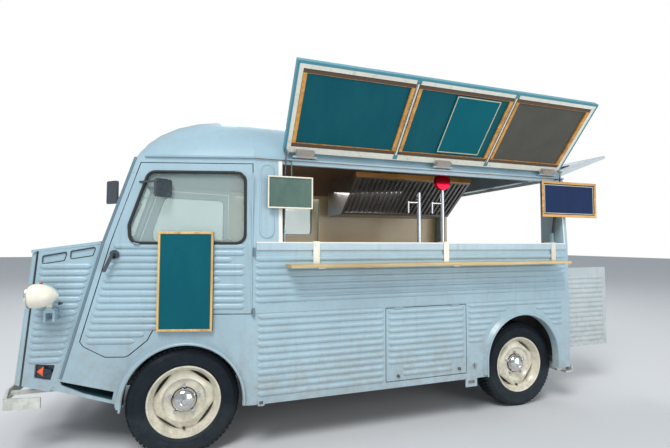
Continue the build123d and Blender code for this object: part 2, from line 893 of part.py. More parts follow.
# Rear half-doors, drawn closed at the back and turned to where they stand open
door_leaf_width = rear_opening_half - panel_gap - panel_gap / 2
leaf_low_z = rear_sill_z + panel_gap
leaf_high_z = rear_split_z - panel_gap / 2
rear_plane = Plane(origin=(body_end_x, 0, 0), x_dir=(0, 1, 0), z_dir=(1, 0, 0))
rear_rows = [
    (leaf_low_z + 60 + row * body_rib_pitch, -rear_opening_half + 45, -45) for row in range(14)
]
barrel = 7
rear_hinge_x = body_end_x + rib_height + barrel
rear_hinge_y = -rear_opening_half + panel_gap / 2
rear_hinge_heights = (480, 950)
with BuildPart() as rear_leaf:
    block(
        (body_end_x - rear_panel, body_end_x),
        (-rear_opening_half + panel_gap, -panel_gap / 2),
        (leaf_low_z, leaf_high_z),
    )
    ribs_on(rear_plane, rear_rows)
    for hinge_at in rear_hinge_heights:
        disc((rear_hinge_x, rear_hinge_y, hinge_at), barrel, 60, "Z")
        block((body_end_x, rear_hinge_x), (rear_hinge_y, rear_hinge_y + 34), (hinge_at - 30, hinge_at + 30))
rear_hinge_left = Axis((rear_hinge_x, rear_hinge_y, 0), (0, 0, 1))
with BuildPart() as rear_door_left:
    add(rear_leaf.part.rotate(rear_hinge_left, rear_door_open_deg * -1))
with BuildPart() as rear_door_right:
    add(mirrored(rear_door_left.part))

tailgate_hinge_z = rear_top_z + 6
tailgate_hinge_x = rear_hinge_x
tailgate_hinge_ys = (-500, 0, 500)
tail_rows = [(rear_split_z + 60 + row * body_rib_pitch, -640, 640) for row in range(3)]
tail_window = [(-520, 1300), (520, 1300), (520, 1720), (-520, 1720)]
with BuildPart() as tail_closed:
    block(
        (body_end_x - rear_panel, body_end_x),
        (-rear_opening_half + panel_gap, rear_opening_half - panel_gap),
        (rear_split_z + panel_gap / 2, rear_top_z - panel_gap),
    )
    ribs_on(rear_plane, tail_rows)
    add(front_prism(tail_window, body_end_x - 60, body_end_x + 60), mode=Mode.SUBTRACT)
    for hinge_at in tailgate_hinge_ys:
        disc((tailgate_hinge_x, hinge_at, tailgate_hinge_z), barrel, 80, "Y")
        block(
            (body_end_x, tailgate_hinge_x),
            (hinge_at - 40, hinge_at + 40),
            (tailgate_hinge_z - 40, rear_top_z - panel_gap),
        )
        block(
            (tailgate_hinge_x - barrel, tailgate_hinge_x),
            (hinge_at - 40, hinge_at + 40),
            (rear_top_z - panel_gap, tailgate_hinge_z),
        )
tailgate_axis = Axis((tailgate_hinge_x, 0, tailgate_hinge_z), (0, 1, 0))
with BuildPart() as tailgate:
    add(tail_closed.part.rotate(tailgate_axis, -tailgate_open_deg))
tail_pane = front_prism(tail_window, body_end_x - rear_panel / 2 - 2.5, body_end_x - rear_panel / 2 + 2.5)
with BuildPart() as tailgate_glass:
    add(tail_pane.rotate(tailgate_axis, -tailgate_open_deg))

# Hinge halves of the rear frame
with BuildPart() as rear_end:
    add(rear_frame.part)
    for end in (-1, 1):
        for hinge_at in tailgate_hinge_ys:
            middle = hinge_at + end * 52
            disc((tailgate_hinge_x, middle, tailgate_hinge_z), barrel, 23, "Y")
            block(
                (body_end_x - 2, tailgate_hinge_x),
                (middle - 11.5, middle + 11.5),
                (tailgate_hinge_z - 4, tailgate_hinge_z + 30),
            )
        for hinge_at in rear_hinge_heights:
            for half in (-1, 1):
                middle = hinge_at + end * 42
                disc((rear_hinge_x, half * rear_hinge_y, middle), barrel, 23, "Z")
                block(
                    (body_end_x - 2, rear_hinge_x),
                    (half * rear_hinge_y, half * (rear_hinge_y - 36)),
                    (middle - 11.5, middle + 11.5),
                )

# Nose: two ribbed sides, the front cowl with its grille, and the bonnet lid
nose_seam_top = (nose_front_top_x + nose_seam, nose_front_top_z + 12)
nose_seam_low = (nose_front_low_x + nose_seam, nose_front_low_z - 12)
nose_rear_low = (foot_x - 54, foot_z - 58)
nose_gap = 0.5
nose_side_outline = [
    (pillar_line(knee_z - 12.5) - nose_gap, knee_z - 12.5),
    (foot_x - nose_gap, foot_z),
    nose_rear_low,
    (nose_seam_low[0] + nose_gap, nose_seam_low[1]),
    (nose_seam_top[0] + nose_gap, nose_seam_top[1] - 0.1),
]
nose_side_form = plan_prism(
    [
        (-300, -nose_half(-300)),
        (-1100, -nose_half(-1100)),
        (-1100, -nose_half(-1100) + nose_sheet),
        (-300, -nose_half(-300) + nose_sheet),
    ],
    300,
    1400,
)
indicator_x = -812
indicator_z = 514
indicator_recess = [
    (indicator_x - 41, indicator_z + 46),
    (indicator_x + 67, indicator_z + 37),
    (indicator_x + 44, indicator_z - 56),
    (indicator_x - 46, indicator_z - 37),
]
# Sunk panels under the bonnet's edge: start, end
vent_table = [(-833, -697), (-679, -538)]
vent_height = 45
vent_slope = 0.19
vent_depth = 5
lamp_z = 982
nose_rows = []
for row in range(15):
    height = 579 + row * nose_rib_pitch
    front = nose_front(height) + nose_seam + 30
    back = pillar_line(height) - 34
    if abs(height - lamp_z) < 62:
        front = front + 90
    nose_rows.append((height, along_nose(front), along_nose(back)))
with BuildPart() as nose_sides:
    nose_side = nose_side_form & side_prism(nose_side_outline, -1000, 0)
    add(nose_side)
    with BuildSketch(nose_plane.offset(20)) as recess:
        Polygon(*[(along_nose(x), z) for x, z in indicator_recess], align=None)
        fillet(recess.vertices(), 7)
    extrude(amount=-60, mode=Mode.SUBTRACT)
    with BuildSketch(nose_plane) as vents:
        for start, end in vent_table:
            start_z = nose_front_top_z - 10 + vent_slope * (start - vent_table[0][0])
            end_z = start_z + vent_slope * (end - start)
            Polygon(
                (along_nose(start), start_z),
                (along_nose(end), end_z),
                (along_nose(end - 16), end_z - vent_height - 6),
                (along_nose(start), start_z - vent_height),
                align=None,
            )
        fillet(vents.vertices(), 8)
    extrude(amount=-vent_depth, mode=Mode.SUBTRACT)
    ribs_on(nose_plane, nose_rows)
    add(mirrored(nose_sides.part))

cowl_half = nose_half(nose_front_low_x + nose_seam)
cowl_outer = [
    nose_seam_top,
    (nose_front_top_x, nose_front_top_z),
    (nose_front_low_x, nose_front_low_z),
    nose_seam_low,
]
cowl_cavity = [
    (nose_seam_top[0] + 20, nose_seam_top[1] + 40),
    (nose_front_top_x + nose_sheet, nose_front_top_z + 40),
    (nose_front_top_x + nose_sheet, nose_front_top_z),
    (nose_front_low_x + nose_sheet, nose_front_low_z),
    (nose_front_low_x + nose_sheet, nose_front_low_z - 60),
    (nose_seam_low[0] + 20, nose_seam_low[1] - 60),
]
grille_half = 430
grille_low_z = 600
grille_high_z = 1120
slat_count = 9
slat_height = 22
with BuildPart() as front_cowl:
    add(side_prism(cowl_outer, -cowl_half, cowl_half))
    upright_edges = front_cowl.edges().filter_by(lambda edge: abs(edge.tangent_at(0.5).Z) > 0.9)
    fillet(upright_edges.sort_by(Axis.X)[:2], 34)
    add(side_prism(cowl_cavity, -cowl_half + nose_sheet, cowl_half - nose_sheet), mode=Mode.SUBTRACT)
    block((-1100, -800), (-grille_half, grille_half), (grille_low_z, grille_high_z), Mode.SUBTRACT)
    slat_gap = (grille_high_z - grille_low_z) / slat_count
    for slat in range(slat_count):
        slat_z = grille_low_z + slat_gap * (slat + 0.5)
        slat_x = nose_front(slat_z) + nose_sheet / 2
        with Locations(Location((slat_x, 0, slat_z), (0, -25, 0))):
            Box(6, 2 * grille_half + 4, slat_height)

lid_front_x = nose_front_top_x + 4
lid_back_x = knee_x - 14
lid_hinge_x = knee_x - 11
lid_hinge_z = knee_z + 17
lid_hinge_radius = 6
lid_profile = [
    (lid_back_x, knee_z + 8),
    (lid_front_x, nose_front_top_z + 22),
    (lid_front_x, nose_front_top_z + 4),
    (nose_seam_top[0], nose_seam_top[1] + 0.4),
    (lid_back_x, knee_z - 12),
]
lid_plan = [
    (lid_front_x, -nose_half(lid_front_x)),
    (lid_back_x, -nose_half(lid_back_x)),
    (lid_back_x, nose_half(lid_back_x)),
    (lid_front_x, nose_half(lid_front_x)),
]
with BuildPart() as bonnet_lid:
    add(side_prism(lid_profile, -800, 800) & plan_prism(lid_plan, 1100, 1400))
    for lid_hinge_y in (-380, 380):
        disc((lid_hinge_x, lid_hinge_y, lid_hinge_z), lid_hinge_radius, 110, "Y")
        block(
            (lid_hinge_x - lid_hinge_radius, lid_hinge_x),
            (lid_hinge_y - 55, lid_hinge_y + 55),
            (knee_z, lid_hinge_z),
        )

# Headlamps: egg-shaped pods, each on an arched bracket that stands on the nose side
lamp_x = -777
lamp_y = nose_half(lamp_x) + 118
lamp_radius = 68
lamp_front = 80
lamp_tail = 70
bracket_front = lamp_x - 15
bracket_rear = lamp_x + 43
bracket_low_z = lamp_z - 158
bracket_top_z = lamp_z - 82
bracket_sheet = 12
with BuildPart() as headlamps:
    for half in (-1, 1):
        with BuildSketch(Plane.XZ.offset(-half * lamp_y)) as shape:
            with BuildLine():
                Line((lamp_x - lamp_front, lamp_z), (lamp_x - lamp_front, lamp_z + lamp_radius * 0.93))
                Line(
                    (lamp_x - lamp_front, lamp_z + lamp_radius * 0.93),
                    (lamp_x - lamp_front + 14, lamp_z + lamp_radius),
                )
                ThreePointArc(
                    (lamp_x - lamp_front + 14, lamp_z + lamp_radius),
                    (lamp_x + 28, lamp_z + lamp_radius * 0.74),
                    (lamp_x + lamp_tail, lamp_z),
                )
                Line((lamp_x + lamp_tail, lamp_z), (lamp_x - lamp_front, lamp_z))
            make_face()
        revolve(axis=Axis((lamp_x, half * lamp_y, lamp_z), (1, 0, 0)))
        arm_root_y = nose_half(bracket_rear) + rib_height + 0.4
        arch = [
            (bracket_front, bracket_low_z),
            (bracket_front + bracket_sheet, bracket_low_z),
            (bracket_front + bracket_sheet, bracket_top_z - 2 * bracket_sheet),
            (bracket_rear - bracket_sheet, bracket_top_z - 2 * bracket_sheet),
            (bracket_rear - bracket_sheet, bracket_low_z),
            (bracket_rear, bracket_low_z),
            (bracket_rear, bracket_top_z - bracket_sheet),
            (bracket_rear - bracket_sheet, bracket_top_z),
            (bracket_front + bracket_sheet, bracket_top_z),
            (bracket_front, bracket_top_z - bracket_sheet),
        ]
        add(side_prism(arch, half * arm_root_y, half * (lamp_y - 30)))
        block(
            (lamp_x, lamp_x + 26),
            (half * (lamp_y - 48), half * (lamp_y - 30)),
            (bracket_top_z - bracket_sheet, lamp_z - 20),
        )
with BuildPart() as headlamp_glasses:
    for half in (-1, 1):
        with Locations(Location((lamp_x - lamp_front - 0.3 - 6, half * lamp_y, lamp_z), (0, 90, 0))):
            Cone(lamp_radius * 0.88, lamp_radius * 0.6, 12, rotation=(180, 0, 0))

# Indicators: a dark box behind the recess, and a drop-shaped lamp lying in it
indicator_plane = nose_plane.offset(-nose_sheet - 0.3)
drop_radius = 29
drop_nose = 36
drop_tail = 48
with BuildPart() as indicators:
    with BuildSketch(indicator_plane):
        with Locations((along_nose(indicator_x + 6), indicator_z - 4)):
            Rectangle(132, 124)
    extrude(amount=-18)
    drop_spot = indicator_plane.from_local_coords((along_nose(indicator_x), indicator_z, 6))
    with Locations(Location(drop_spot, (0, 0, -nose_taper))):
        with Locations(Location((-drop_nose / 2, 0, 0), (0, -90, 0))):
            Cone(drop_radius, 4, drop_nose)
        with Locations(Location((drop_tail / 2, 0, 0), (0, 90, 0))):
            Cone(drop_radius, 10, drop_tail)
    add(mirrored(indicators.part))

# Bumpers
chassis_front_x = -760
blade_low_z = 300
blade_high_z = 366
blade_sheet = 14
blade_half = 655
blade_bend_y = 430
blade_end_x = -815
stub_start_x = body_end_x - 80
stub_mid_x = body_end_x + 12
stub_end_x = body_end_x + 58
stub_inner_y = body_half - 285
stub_outer_y = body_half - 25
stub_low_z = 238
stub_sheet = 14
stub_top_z = body_bottom - 0.3
with BuildPart() as bumpers:
    blade = [
        (blade_end_x, -blade_half),
        (bumper_front_x + 50, -blade_half + 30),
        (bumper_front_x, -blade_bend_y),
        (bumper_front_x, blade_bend_y),
        (bumper_front_x + 50, blade_half - 30),
        (blade_end_x, blade_half),
        (blade_end_x, blade_half - blade_sheet),
        (bumper_front_x + 50 + blade_sheet, blade_half - 30 - blade_sheet),
        (bumper_front_x + blade_sheet, blade_bend_y),
        (bumper_front_x + blade_sheet, -blade_bend_y),
        (bumper_front_x + 50 + blade_sheet, -blade_half + 30 + blade_sheet),
        (blade_end_x, -blade_half + blade_sheet),
    ]
    add(plan_prism(blade, blade_low_z, blade_high_z))
    for half in (-1, 1):
        block(
            (bumper_front_x + blade_sheet, chassis_front_x - 0.3),
            (half * (rail_y - 20), half * (rail_y + 20)),
            (blade_high_z - 40, blade_high_z - 20),
        )

    for half in (-1, 1):
        inner_y, outer_y = half * stub_inner_y, half * stub_outer_y
        arm_y = half * (stub_outer_y - 30)
        fold_z = stub_low_z + stub_sheet
        block((stub_start_x, stub_mid_x), (inner_y, arm_y), (fold_z, stub_top_z))
        block((stub_mid_x - 30, stub_end_x), (inner_y, outer_y), (stub_low_z, fold_z))
        block((stub_end_x - stub_sheet, stub_end_x), (inner_y, outer_y), (stub_low_z, stub_top_z))

# Chassis and floors
chassis_end_x = side_end_x - 5
rail_top_z = floor_z - 0.3
shaft_notch = 50
with BuildPart() as chassis_frame:
    for half in (-1, 1):
        block(
            (chassis_front_x, chassis_end_x),
            (half * (rail_y - rail_width / 2), half * (rail_y + rail_width / 2)),
            (rail_top_z - rail_height, rail_top_z),
        )
        block(
            (-shaft_notch, shaft_notch),
            (half * (rail_y - rail_width), half * (rail_y + rail_width)),
            (0, axle_z + shaft_notch / 2),
            Mode.SUBTRACT,
        )
    for cross_x in (chassis_front_x + 30, 420, 1250, 1980, chassis_end_x - 60):
        block((cross_x - 30, cross_x + 30), (-rail_y, rail_y), (rail_top_z - rail_height + 12, rail_top_z))
    for out_x in (440, 1290, 1985, chassis_end_x - 24):
        for half in (-1, 1):
            block(
                (out_x - 22, out_x + 22),
                (half * rail_y, half * (body_half - wall - 0.3)),
                (rail_top_z - 50, rail_top_z),
            )

# Towing eye: a level plate behind the last cross member, drilled from above
tow_eye_x = body_end_x + 30
tow_eye_z = 262
tow_eye_radius = 16
tow_eye_sheet = 16
tow_eye_edge = 34
with BuildPart() as tow_eye:
    block(
        (chassis_end_x - 150, tow_eye_x),
        (-tow_eye_edge, tow_eye_edge),
        (tow_eye_z - tow_eye_sheet / 2, tow_eye_z + tow_eye_sheet / 2),
    )
    disc((tow_eye_x, 0, tow_eye_z), tow_eye_edge, tow_eye_sheet, "Z")
    block(
        (chassis_end_x - 150, chassis_end_x - 20),
        (-tow_eye_edge, tow_eye_edge),
        (tow_eye_z, rail_top_z - rail_height + 14),
    )
    disc((tow_eye_x, 0, tow_eye_z), tow_eye_radius, 60, "Z", Mode.SUBTRACT)
with BuildPart() as chassis:
    add(chassis_frame.part)
    add(tow_eye.part)

wheel_box_start = rear_arch_x - rear_arch_radius - 50
wheel_box_end = side_end_x - 1
wheel_box_half = 660
wheel_box_z = rear_arch_z + rear_arch_radius + 20
with BuildPart() as load_floor:
    block(
        (pillar_x, side_end_x - 0.3),
        (-body_half + wall + 0.3, body_half - wall - 0.3),
        (floor_z, floor_z + floor_sheet),
    )
    for half in (-1, 1):
        block(
            (wheel_box_start, wheel_box_end),
            (half * wheel_box_half, half * (body_half - wall - 0.3)),
            (floor_z, wheel_box_z),
        )
        block(
            (wheel_box_start + floor_sheet, wheel_box_end - floor_sheet),
            (half * (wheel_box_half + floor_sheet), half * (body_half + 10)),
            (0, wheel_box_z - floor_sheet),
            Mode.SUBTRACT,
        )

house_inner = 500
house_start = front_arch_x - front_arch_radius - flare_width - 20
house_z = 712
cab_floor_z = 470
footwell_front_x = foot_x + front_wall_run + 1
engine_front_x = -600
engine_back_x = 60
engine_half = 210
engine_top_z = 640
cover_gap = 30
arm_slot_half = 175
inside_profile = [
    (pillar_x, 0),
    (pillar_x, eaves_z),
    (pillar_line(eaves_z) + front_wall_run + 0.4, eaves_z),
    (knee_x + front_wall_run + 0.4, knee_z),
    (foot_x + front_wall_run + 0.4, foot_z),
    (foot_x + front_wall_run + 0.4, 0),
]
cab_inside = cab_volume(wall + 0.4, body_bottom - 90) & side_prism(inside_profile, -1200, 1200)
with BuildPart() as cab_floor:
    block(
        (footwell_front_x, pillar_x - 0.3),
        (-house_inner, house_inner),
        (cab_floor_z, cab_floor_z + floor_sheet),
    )
    block((footwell_front_x, house_start), (-900, 900), (cab_floor_z, cab_floor_z + floor_sheet))
    for half in (-1, 1):
        block(
            (footwell_front_x, pillar_x - 0.3),
            (half * (rail_y - rail_width / 2), half * (rail_y + rail_width / 2)),
            (rail_top_z + 0.3, cab_floor_z),
        )
        block((house_start, pillar_x - 0.3), (half * house_inner, half * 1100), (floor_z, house_z))
        block(
            (house_start + floor_sheet, pillar_x - floor_sheet),
            (half * (house_inner + floor_sheet), half * 1200),
            (0, house_z - floor_sheet),
            Mode.SUBTRACT,
        )
    for half in (-1, 1):
        block(
            (-arm_slot_half, arm_slot_half),
            (half * (house_inner - 1), half * (house_inner + floor_sheet + 1)),
            (0, cab_floor_z - 10),
            Mode.SUBTRACT,
        )
    block(
        (engine_front_x - cover_gap - floor_sheet, engine_back_x + cover_gap + floor_sheet),
        (-engine_half - cover_gap - floor_sheet, engine_half + cover_gap + floor_sheet),
        (cab_floor_z, engine_top_z + cover_gap + floor_sheet),
    )
    block(
        (engine_front_x - cover_gap, engine_back_x + cover_gap),
        (-engine_half - cover_gap, engine_half + cover_gap),
        (0, engine_top_z + cover_gap),
        Mode.SUBTRACT,
    )
    add(cab_inside, mode=Mode.INTERSECT)

engine_low_z = 270
with BuildPart() as engine_block:
    block((engine_front_x, engine_back_x), (-engine_half, engine_half), (engine_low_z, engine_top_z))
    for half in (-1, 1):
        block(
            (-380, -300),
            (half * engine_half, half * (rail_y - rail_width / 2 - 0.3)),
            (engine_low_z + 40, engine_low_z + 100),
        )

# Suspension: fixed arms and shafts, steered knuckles, rear arms with their stubs
arm_low_z = axle_z - 102
arm_high_z = axle_z + 102
upright_radius = 25
with BuildPart() as front_suspension:
    for half in (-1, 1):
        for arm_z in (arm_low_z, arm_high_z):
            arm = [
                (-150, half * (rail_y + rail_width / 2 + 0.3)),
                (150, half * (rail_y + rail_width / 2 + 0.3)),
                (24, half * (kingpin_y + 20)),
                (-24, half * (kingpin_y + 20)),
            ]
            add(plan_prism(arm, arm_z - 14, arm_z + 14))
        for side_x in (-120, 120):
            block(
                (side_x - 25, side_x + 25),
                (half * (rail_y + rail_width / 2 + 0.3), half * (rail_y + rail_width / 2 + 26)),
                (arm_low_z, arm_high_z),
            )
        shaft_end = kingpin_y - upright_radius - 6
        disc((0, half * (engine_half + 0.3 + shaft_end) / 2, axle_z), 15, shaft_end - engine_half - 0.3, "Y")

spindle_radius = 22


spindle_length = front_track / 2 + 70 - kingpin_y


def knuckle(half):
    """Steered upright between the two arms, with its stub axle."""
    with BuildPart() as upright:
        disc((0, half * kingpin_y, axle_z), upright_radius, 2 * (arm_high_z - axle_z) - 28.6, "Z")
        disc((0, half * (kingpin_y + spindle_length / 2), axle_z), spindle_radius, spindle_length, "Y")
        block((-110, 0), (half * (kingpin_y - 8), half * (kingpin_y + 8)), (arm_low_z + 44, arm_low_z + 60))
    return upright.part


with BuildPart() as knuckle_left:
    add(knuckle(-1))
with BuildPart() as knuckle_right:
    add(knuckle(1))

rear_pivot_x = wheelbase - 480
rear_pivot_z = 268
pivot_tube = 38
arm_inner_y = 600
arm_outer_y = 660
with BuildPart() as rear_axle:
    trailing_arm = [
        (rear_pivot_x, rear_pivot_z + 34),
        (rear_pivot_x, rear_pivot_z - 34),
        (wheelbase + 40, axle_z - 30),
        (wheelbase + 40, axle_z + 30),
    ]
    for half in (-1, 1):
        add(side_prism(trailing_arm, half * arm_inner_y, half * arm_outer_y))
        disc((wheelbase, half * (rear_track / 2 - 90), axle_z), spindle_radius, 200, "Y")
    disc((rear_pivot_x, 0, rear_pivot_z), pivot_tube, 2 * arm_outer_y, "Y")
    for half in (-1, 1):
        block(
            (rear_pivot_x - 30, rear_pivot_x + 30),
            (half * (rail_y - 30), half * (rail_y + 30)),
            (rear_pivot_z, rail_top_z - rail_height - 0.3),
        )

# Wheels: a well-base rim with a dished disc and domed hub, and the tyre on it
def rim(centre_x, centre_y):
    """Pressed steel rim with its disc, drum and dome, bored for the stub axle."""
    side = 1 if centre_y > 0 else -1
    # columns: radius, distance outwards from the wheel's middle plane
    profile = [
        (spindle_radius + 0.3, -6),
        (120, -6),
        (132, 8),
        (rim_radius - 36, 12),
        (rim_radius - 24, -70),
        (rim_radius, -74),
        (bead_radius - 1, -62),
        (bead_radius - 1, 62),
        (rim_radius, 74),
        (rim_radius - 14, 78),
        (rim_radius - 34, 38),
        (110, 34),
        (88, 22),
        (62, 24),
        (52, 62),
        (20, 84),
        (0, 86),
        (0, 72),
        (spindle_radius + 0.3, 72),
    ]
    with BuildPart() as wheel:
        with BuildSketch(Plane.XY):
            with BuildLine():
                Polyline(*profile, close=True)
            make_face()
        revolve(axis=Axis.Y)
    turned = wheel.part if side == 1 else mirror(wheel.part, about=Plane.XZ, mode=Mode.PRIVATE)
    return turned.moved(Location((centre_x, centre_y, axle_z)))


def tyre(centre_x, centre_y):
    """Tall cross-ply tyre; the tread blocks and grooves are finish."""
    # columns: radius, distance from the wheel's middle plane
    half_profile = [
        (bead_radius, 60),
        (bead_radius + 40, tyre_width / 2),
        (tyre_radius - 45, tyre_width / 2),
        (tyre_radius - 10, tyre_width / 2 - 22),
        (tyre_radius, 50),
    ]
    profile = half_profile + [(r, -y) for r, y in reversed(half_profile)]
    with BuildPart() as ring:
        with BuildSketch(Plane.XY):
            with BuildLine():
                Polyline(*profile, close=True)
            make_face()
        revolve(axis=Axis.Y)
    return ring.part.moved(Location((centre_x, centre_y, axle_z)))


# Wheel stations: name, axle length, distance across
wheel_stations = [
    ("front_left", 0, -front_track / 2),
    ("front_right", 0, front_track / 2),
    ("rear_left", wheelbase, -rear_track / 2),
    ("rear_right", wheelbase, rear_track / 2),
]
for name, wheel_x, wheel_y in wheel_stations:
    with BuildPart() as rim_piece:
        add(rim(wheel_x, wheel_y))
    write_piece(rim_piece, f"rim_{name}")
    with BuildPart() as tyre_piece:
        add(tyre(wheel_x, wheel_y))
    write_piece(tyre_piece, f"tyre_{name}")

# Where the struts stand, along the body and out from the hatch's hinge line
strut_reach = 28
strut_lug = 10
strut_inset = 20
strut_ends = [(opening_start_x + strut_inset, 1), (opening_end_x - strut_inset, -1)]

# Serving hatch, drawn flat along -y from its hinge line, then raised to where it stands
hatch_start_x = opening_start_x + hatch_end_gap
hatch_end_x = opening_end_x - hatch_end_gap
hatch_frame = 42
hatch_axis = Axis((0, hinge_y, hinge_z), (1, 0, 0))
hatch_root_y = hinge_y - 12
hatch_free_y = hinge_y - hatch_length
inner_z = hinge_z + hatch_standoff
outer_z = inner_z + hatch_thickness
skin = 10
post_centres = [opening_start_x + 815, opening_start_x + 1601]
post_width = 26
with BuildPart() as hatch_flat:
    block((hatch_start_x, hatch_end_x), (hatch_free_y, hatch_root_y), (inner_z, outer_z))
    edges_x = [hatch_start_x + hatch_frame, *post_centres, hatch_end_x - hatch_frame]
    for bay, (low_x, high_x) in enumerate(zip(edges_x, edges_x[1:])):
        low = low_x + (post_width / 2 if bay > 0 else 0)
        high = high_x - (post_width / 2 if bay < 2 else 0)
        block(
            (low, high),
            (hatch_free_y + hatch_frame, hatch_root_y - hatch_frame),
            (inner_z - 1, outer_z - skin),
            Mode.SUBTRACT,
        )
    for hinge_x in (hatch_start_x + 140, sum(post_centres) / 2, hatch_end_x - 140):
        block((hinge_x - 60, hinge_x + 60), (hatch_root_y - 30, hinge_y), (hinge_z - 4, inner_z))
        disc((hinge_x, hinge_y, hinge_z), 8, 120, "X")
    for end_x, side in strut_ends:
        block(
            (end_x + side * 5.3, end_x + side * 15),
            (hinge_y - strut_reach - strut_lug, hinge_y - strut_reach + strut_lug),
            (hinge_z - 2, inner_z),
        )
with BuildPart() as serving_hatch:
    add(hatch_flat.part.rotate(hatch_axis, -hatch_open_deg))

board_inset = 3
board_sheet = 22
frame_width = 24
frame_depth = 12
with BuildPart() as boards_flat:
    for bay, (low_x, high_x) in enumerate(zip(edges_x, edges_x[1:])):
        low = low_x + (post_width / 2 if bay > 0 else 0) + board_inset
        high = high_x - (post_width / 2 if bay < 2 else 0) - board_inset
        block(
            (low, high),
            (hatch_free_y + hatch_frame + board_inset, hatch_root_y - hatch_frame - board_inset),
            (outer_z - skin - 0.3, outer_z - skin - board_sheet),
        )
        if bay == 1:
            width = high - low
            block(
                (low + 0.4 * width, low + 0.88 * width),
                (hatch_free_y + hatch_frame + 38, hatch_root_y - hatch_frame - 46),
                (outer_z - skin - board_sheet, outer_z - skin - board_sheet - 8),
            )
with BuildPart() as frames_flat:
    for bay, (low_x, high_x) in enumerate(zip(edges_x, edges_x[1:])):
        low = low_x + (post_width / 2 if bay > 0 else 0) + board_inset
        high = high_x - (post_width / 2 if bay < 2 else 0) - board_inset
        near_y = hatch_root_y - hatch_frame - board_inset
        far_y = hatch_free_y + hatch_frame + board_inset
        top_z = outer_z - skin - board_sheet - 0.3
        block((low, high), (far_y, near_y), (top_z, top_z - frame_depth))
        block(
            (low + frame_width, high - frame_width),
            (far_y + frame_width, near_y - frame_width),
            (top_z + 1, top_z - frame_depth - 1),
            Mode.SUBTRACT,
        )
with BuildPart() as board_frames:
    add(frames_flat.part.rotate(hatch_axis, -hatch_open_deg))
with BuildPart() as menu_boards:
    add(boards_flat.part.rotate(hatch_axis, -hatch_open_deg))

# Hinge bearings on the eaves carry the hatch's barrels
with BuildPart() as hatch_bearings:
    for hinge_x in (hatch_start_x + 140, sum(post_centres) / 2, hatch_end_x - 140):
        for side in (-1, 1):
            centre_x = hinge_x + side * 71.4
            disc((centre_x, hinge_y, hinge_z), 8, 22, "X")
            block(
                (centre_x - 11, centre_x + 11),
                (hinge_y, -body_half + eaves_lean + 9.9),
                (hinge_z - 8, hinge_z + 4),
            )

# Gas struts just inside the opening's ends: tube on the sill, rod's eye beside a hatch lug
strut_low_y = -(body_half - 92)
strut_low_z = 1372
pin_off = 10
strut_top_y = hinge_y - strut_reach * cos(hatch_open) + pin_off * sin(hatch_open)
strut_top_z = hinge_z + strut_reach * sin(hatch_open) + pin_off * cos(hatch_open)
strut_length = hypot(strut_top_y - strut_low_y, strut_top_z - strut_low_z)
strut_tilt = atan2(strut_low_y - strut_top_y, strut_top_z - strut_low_z)
tube_length = 330
tube_radius = 11
tube_bore = 7.5
tube_base = 40
rod_radius = 4.5
rod_length = strut_length - tube_length + 34
eye_radius = 10
eye_width = 10


def strut_place(x, distance):
    """A place on a strut's axis, by distance from its lower pin."""
    tilted = Plane(
        origin=(x, strut_low_y, strut_low_z),
        x_dir=(1, 0, 0),
        z_dir=(0, -sin(strut_tilt), cos(strut_tilt)),
    )
    return tilted.location * Location((0, 0, distance))


with BuildPart() as strut_tubes:
    for x, side in strut_ends:
        with Locations(strut_place(x, tube_length / 2 + 10)):
            Cylinder(tube_radius, tube_length - 20)
        with Locations(strut_place(x, tube_length / 2 + tube_base)):
            Cylinder(tube_bore, tube_length - tube_base, mode=Mode.SUBTRACT)
        with Locations(strut_place(x, 0) * Location((0, 0, 0), (0, 90, 0))):
            Cylinder(eye_radius, eye_width)
        with Locations(strut_place(x, 8)):
            Box(eye_width, 12, 30)
with BuildPart() as strut_rods:
    for x, side in strut_ends:
        with Locations(strut_place(x, strut_length - rod_length / 2)):
            Cylinder(rod_radius, rod_length)
        with Locations(strut_place(x, strut_length) * Location((0, 0, 0), (0, 90, 0))):
            Cylinder(eye_radius, eye_width)
with BuildPart() as hatch_fittings:
    add(hatch_bearings.part)
    for x, side in strut_ends:
        near_x = x + side * (eye_width / 2 + 0.3)
        block(
            (near_x, near_x + side * 10),
            (strut_low_y - 14, strut_low_y + 14),
            (sill_z + sill_sheet + 0.3, strut_low_z + 14),
        )

# Counter shelf on brackets hooked over the sill
shelf_z = 1142
shelf_sheet = 20
shelf_near_y = -body_half - 160
bracket_xs = [opening_start_x + 225, opening_start_x + 1219, opening_end_x - 124]
hook = 5
hook_face_y = -body_half - 8.6
hook_low_z = sill_z + sill_sheet + 0.3
with BuildPart() as shelf_brackets:
    for x in bracket_xs:
        block((x - 22, x + 22), (hook_face_y - hook, hook_face_y), (shelf_z - 8, hook_low_z + hook))
        block((x - 22, x + 22), (hook_face_y - hook, -body_half + 60), (hook_low_z, hook_low_z + hook))
        block((x - 22, x + 22), (shelf_near_y + 20, hook_face_y), (shelf_z - 8, shelf_z - 0.3))
with BuildPart() as counter_shelf:
    block(
        (opening_start_x + 23, opening_end_x - 100),
        (shelf_near_y, hook_face_y - hook - 0.3),
        (shelf_z, shelf_z + shelf_sheet),
    )

# Boards hung at each end of the opening, between the struts and the closed hatch
sign_out_y = -(body_half + 22)
sign_sheet = 6
hook_top_z = eaves_z - 3
# columns: start, end, bottom, top, hook's place along the wall
sign_table = [
    (opening_start_x - 102, opening_start_x + 194, 1516, 1724, opening_start_x + 51),
    (opening_end_x - 245, opening_end_x + 340, 1515, 1807, opening_end_x - 47),
]
with BuildPart() as side_signs:
    for start, end, low, high, hook_x in sign_table:
        block((start, end), (sign_out_y, sign_out_y + sign_sheet), (low, high))
        block((hook_x - 4, hook_x + 4), (sign_out_y, sign_out_y + 4), (high, hook_top_z))
        block(
            (hook_x - 4, hook_x + 4),
            (sign_out_y, -body_half + eaves_lean - 0.7),
            (hook_top_z - 4, hook_top_z),
        )

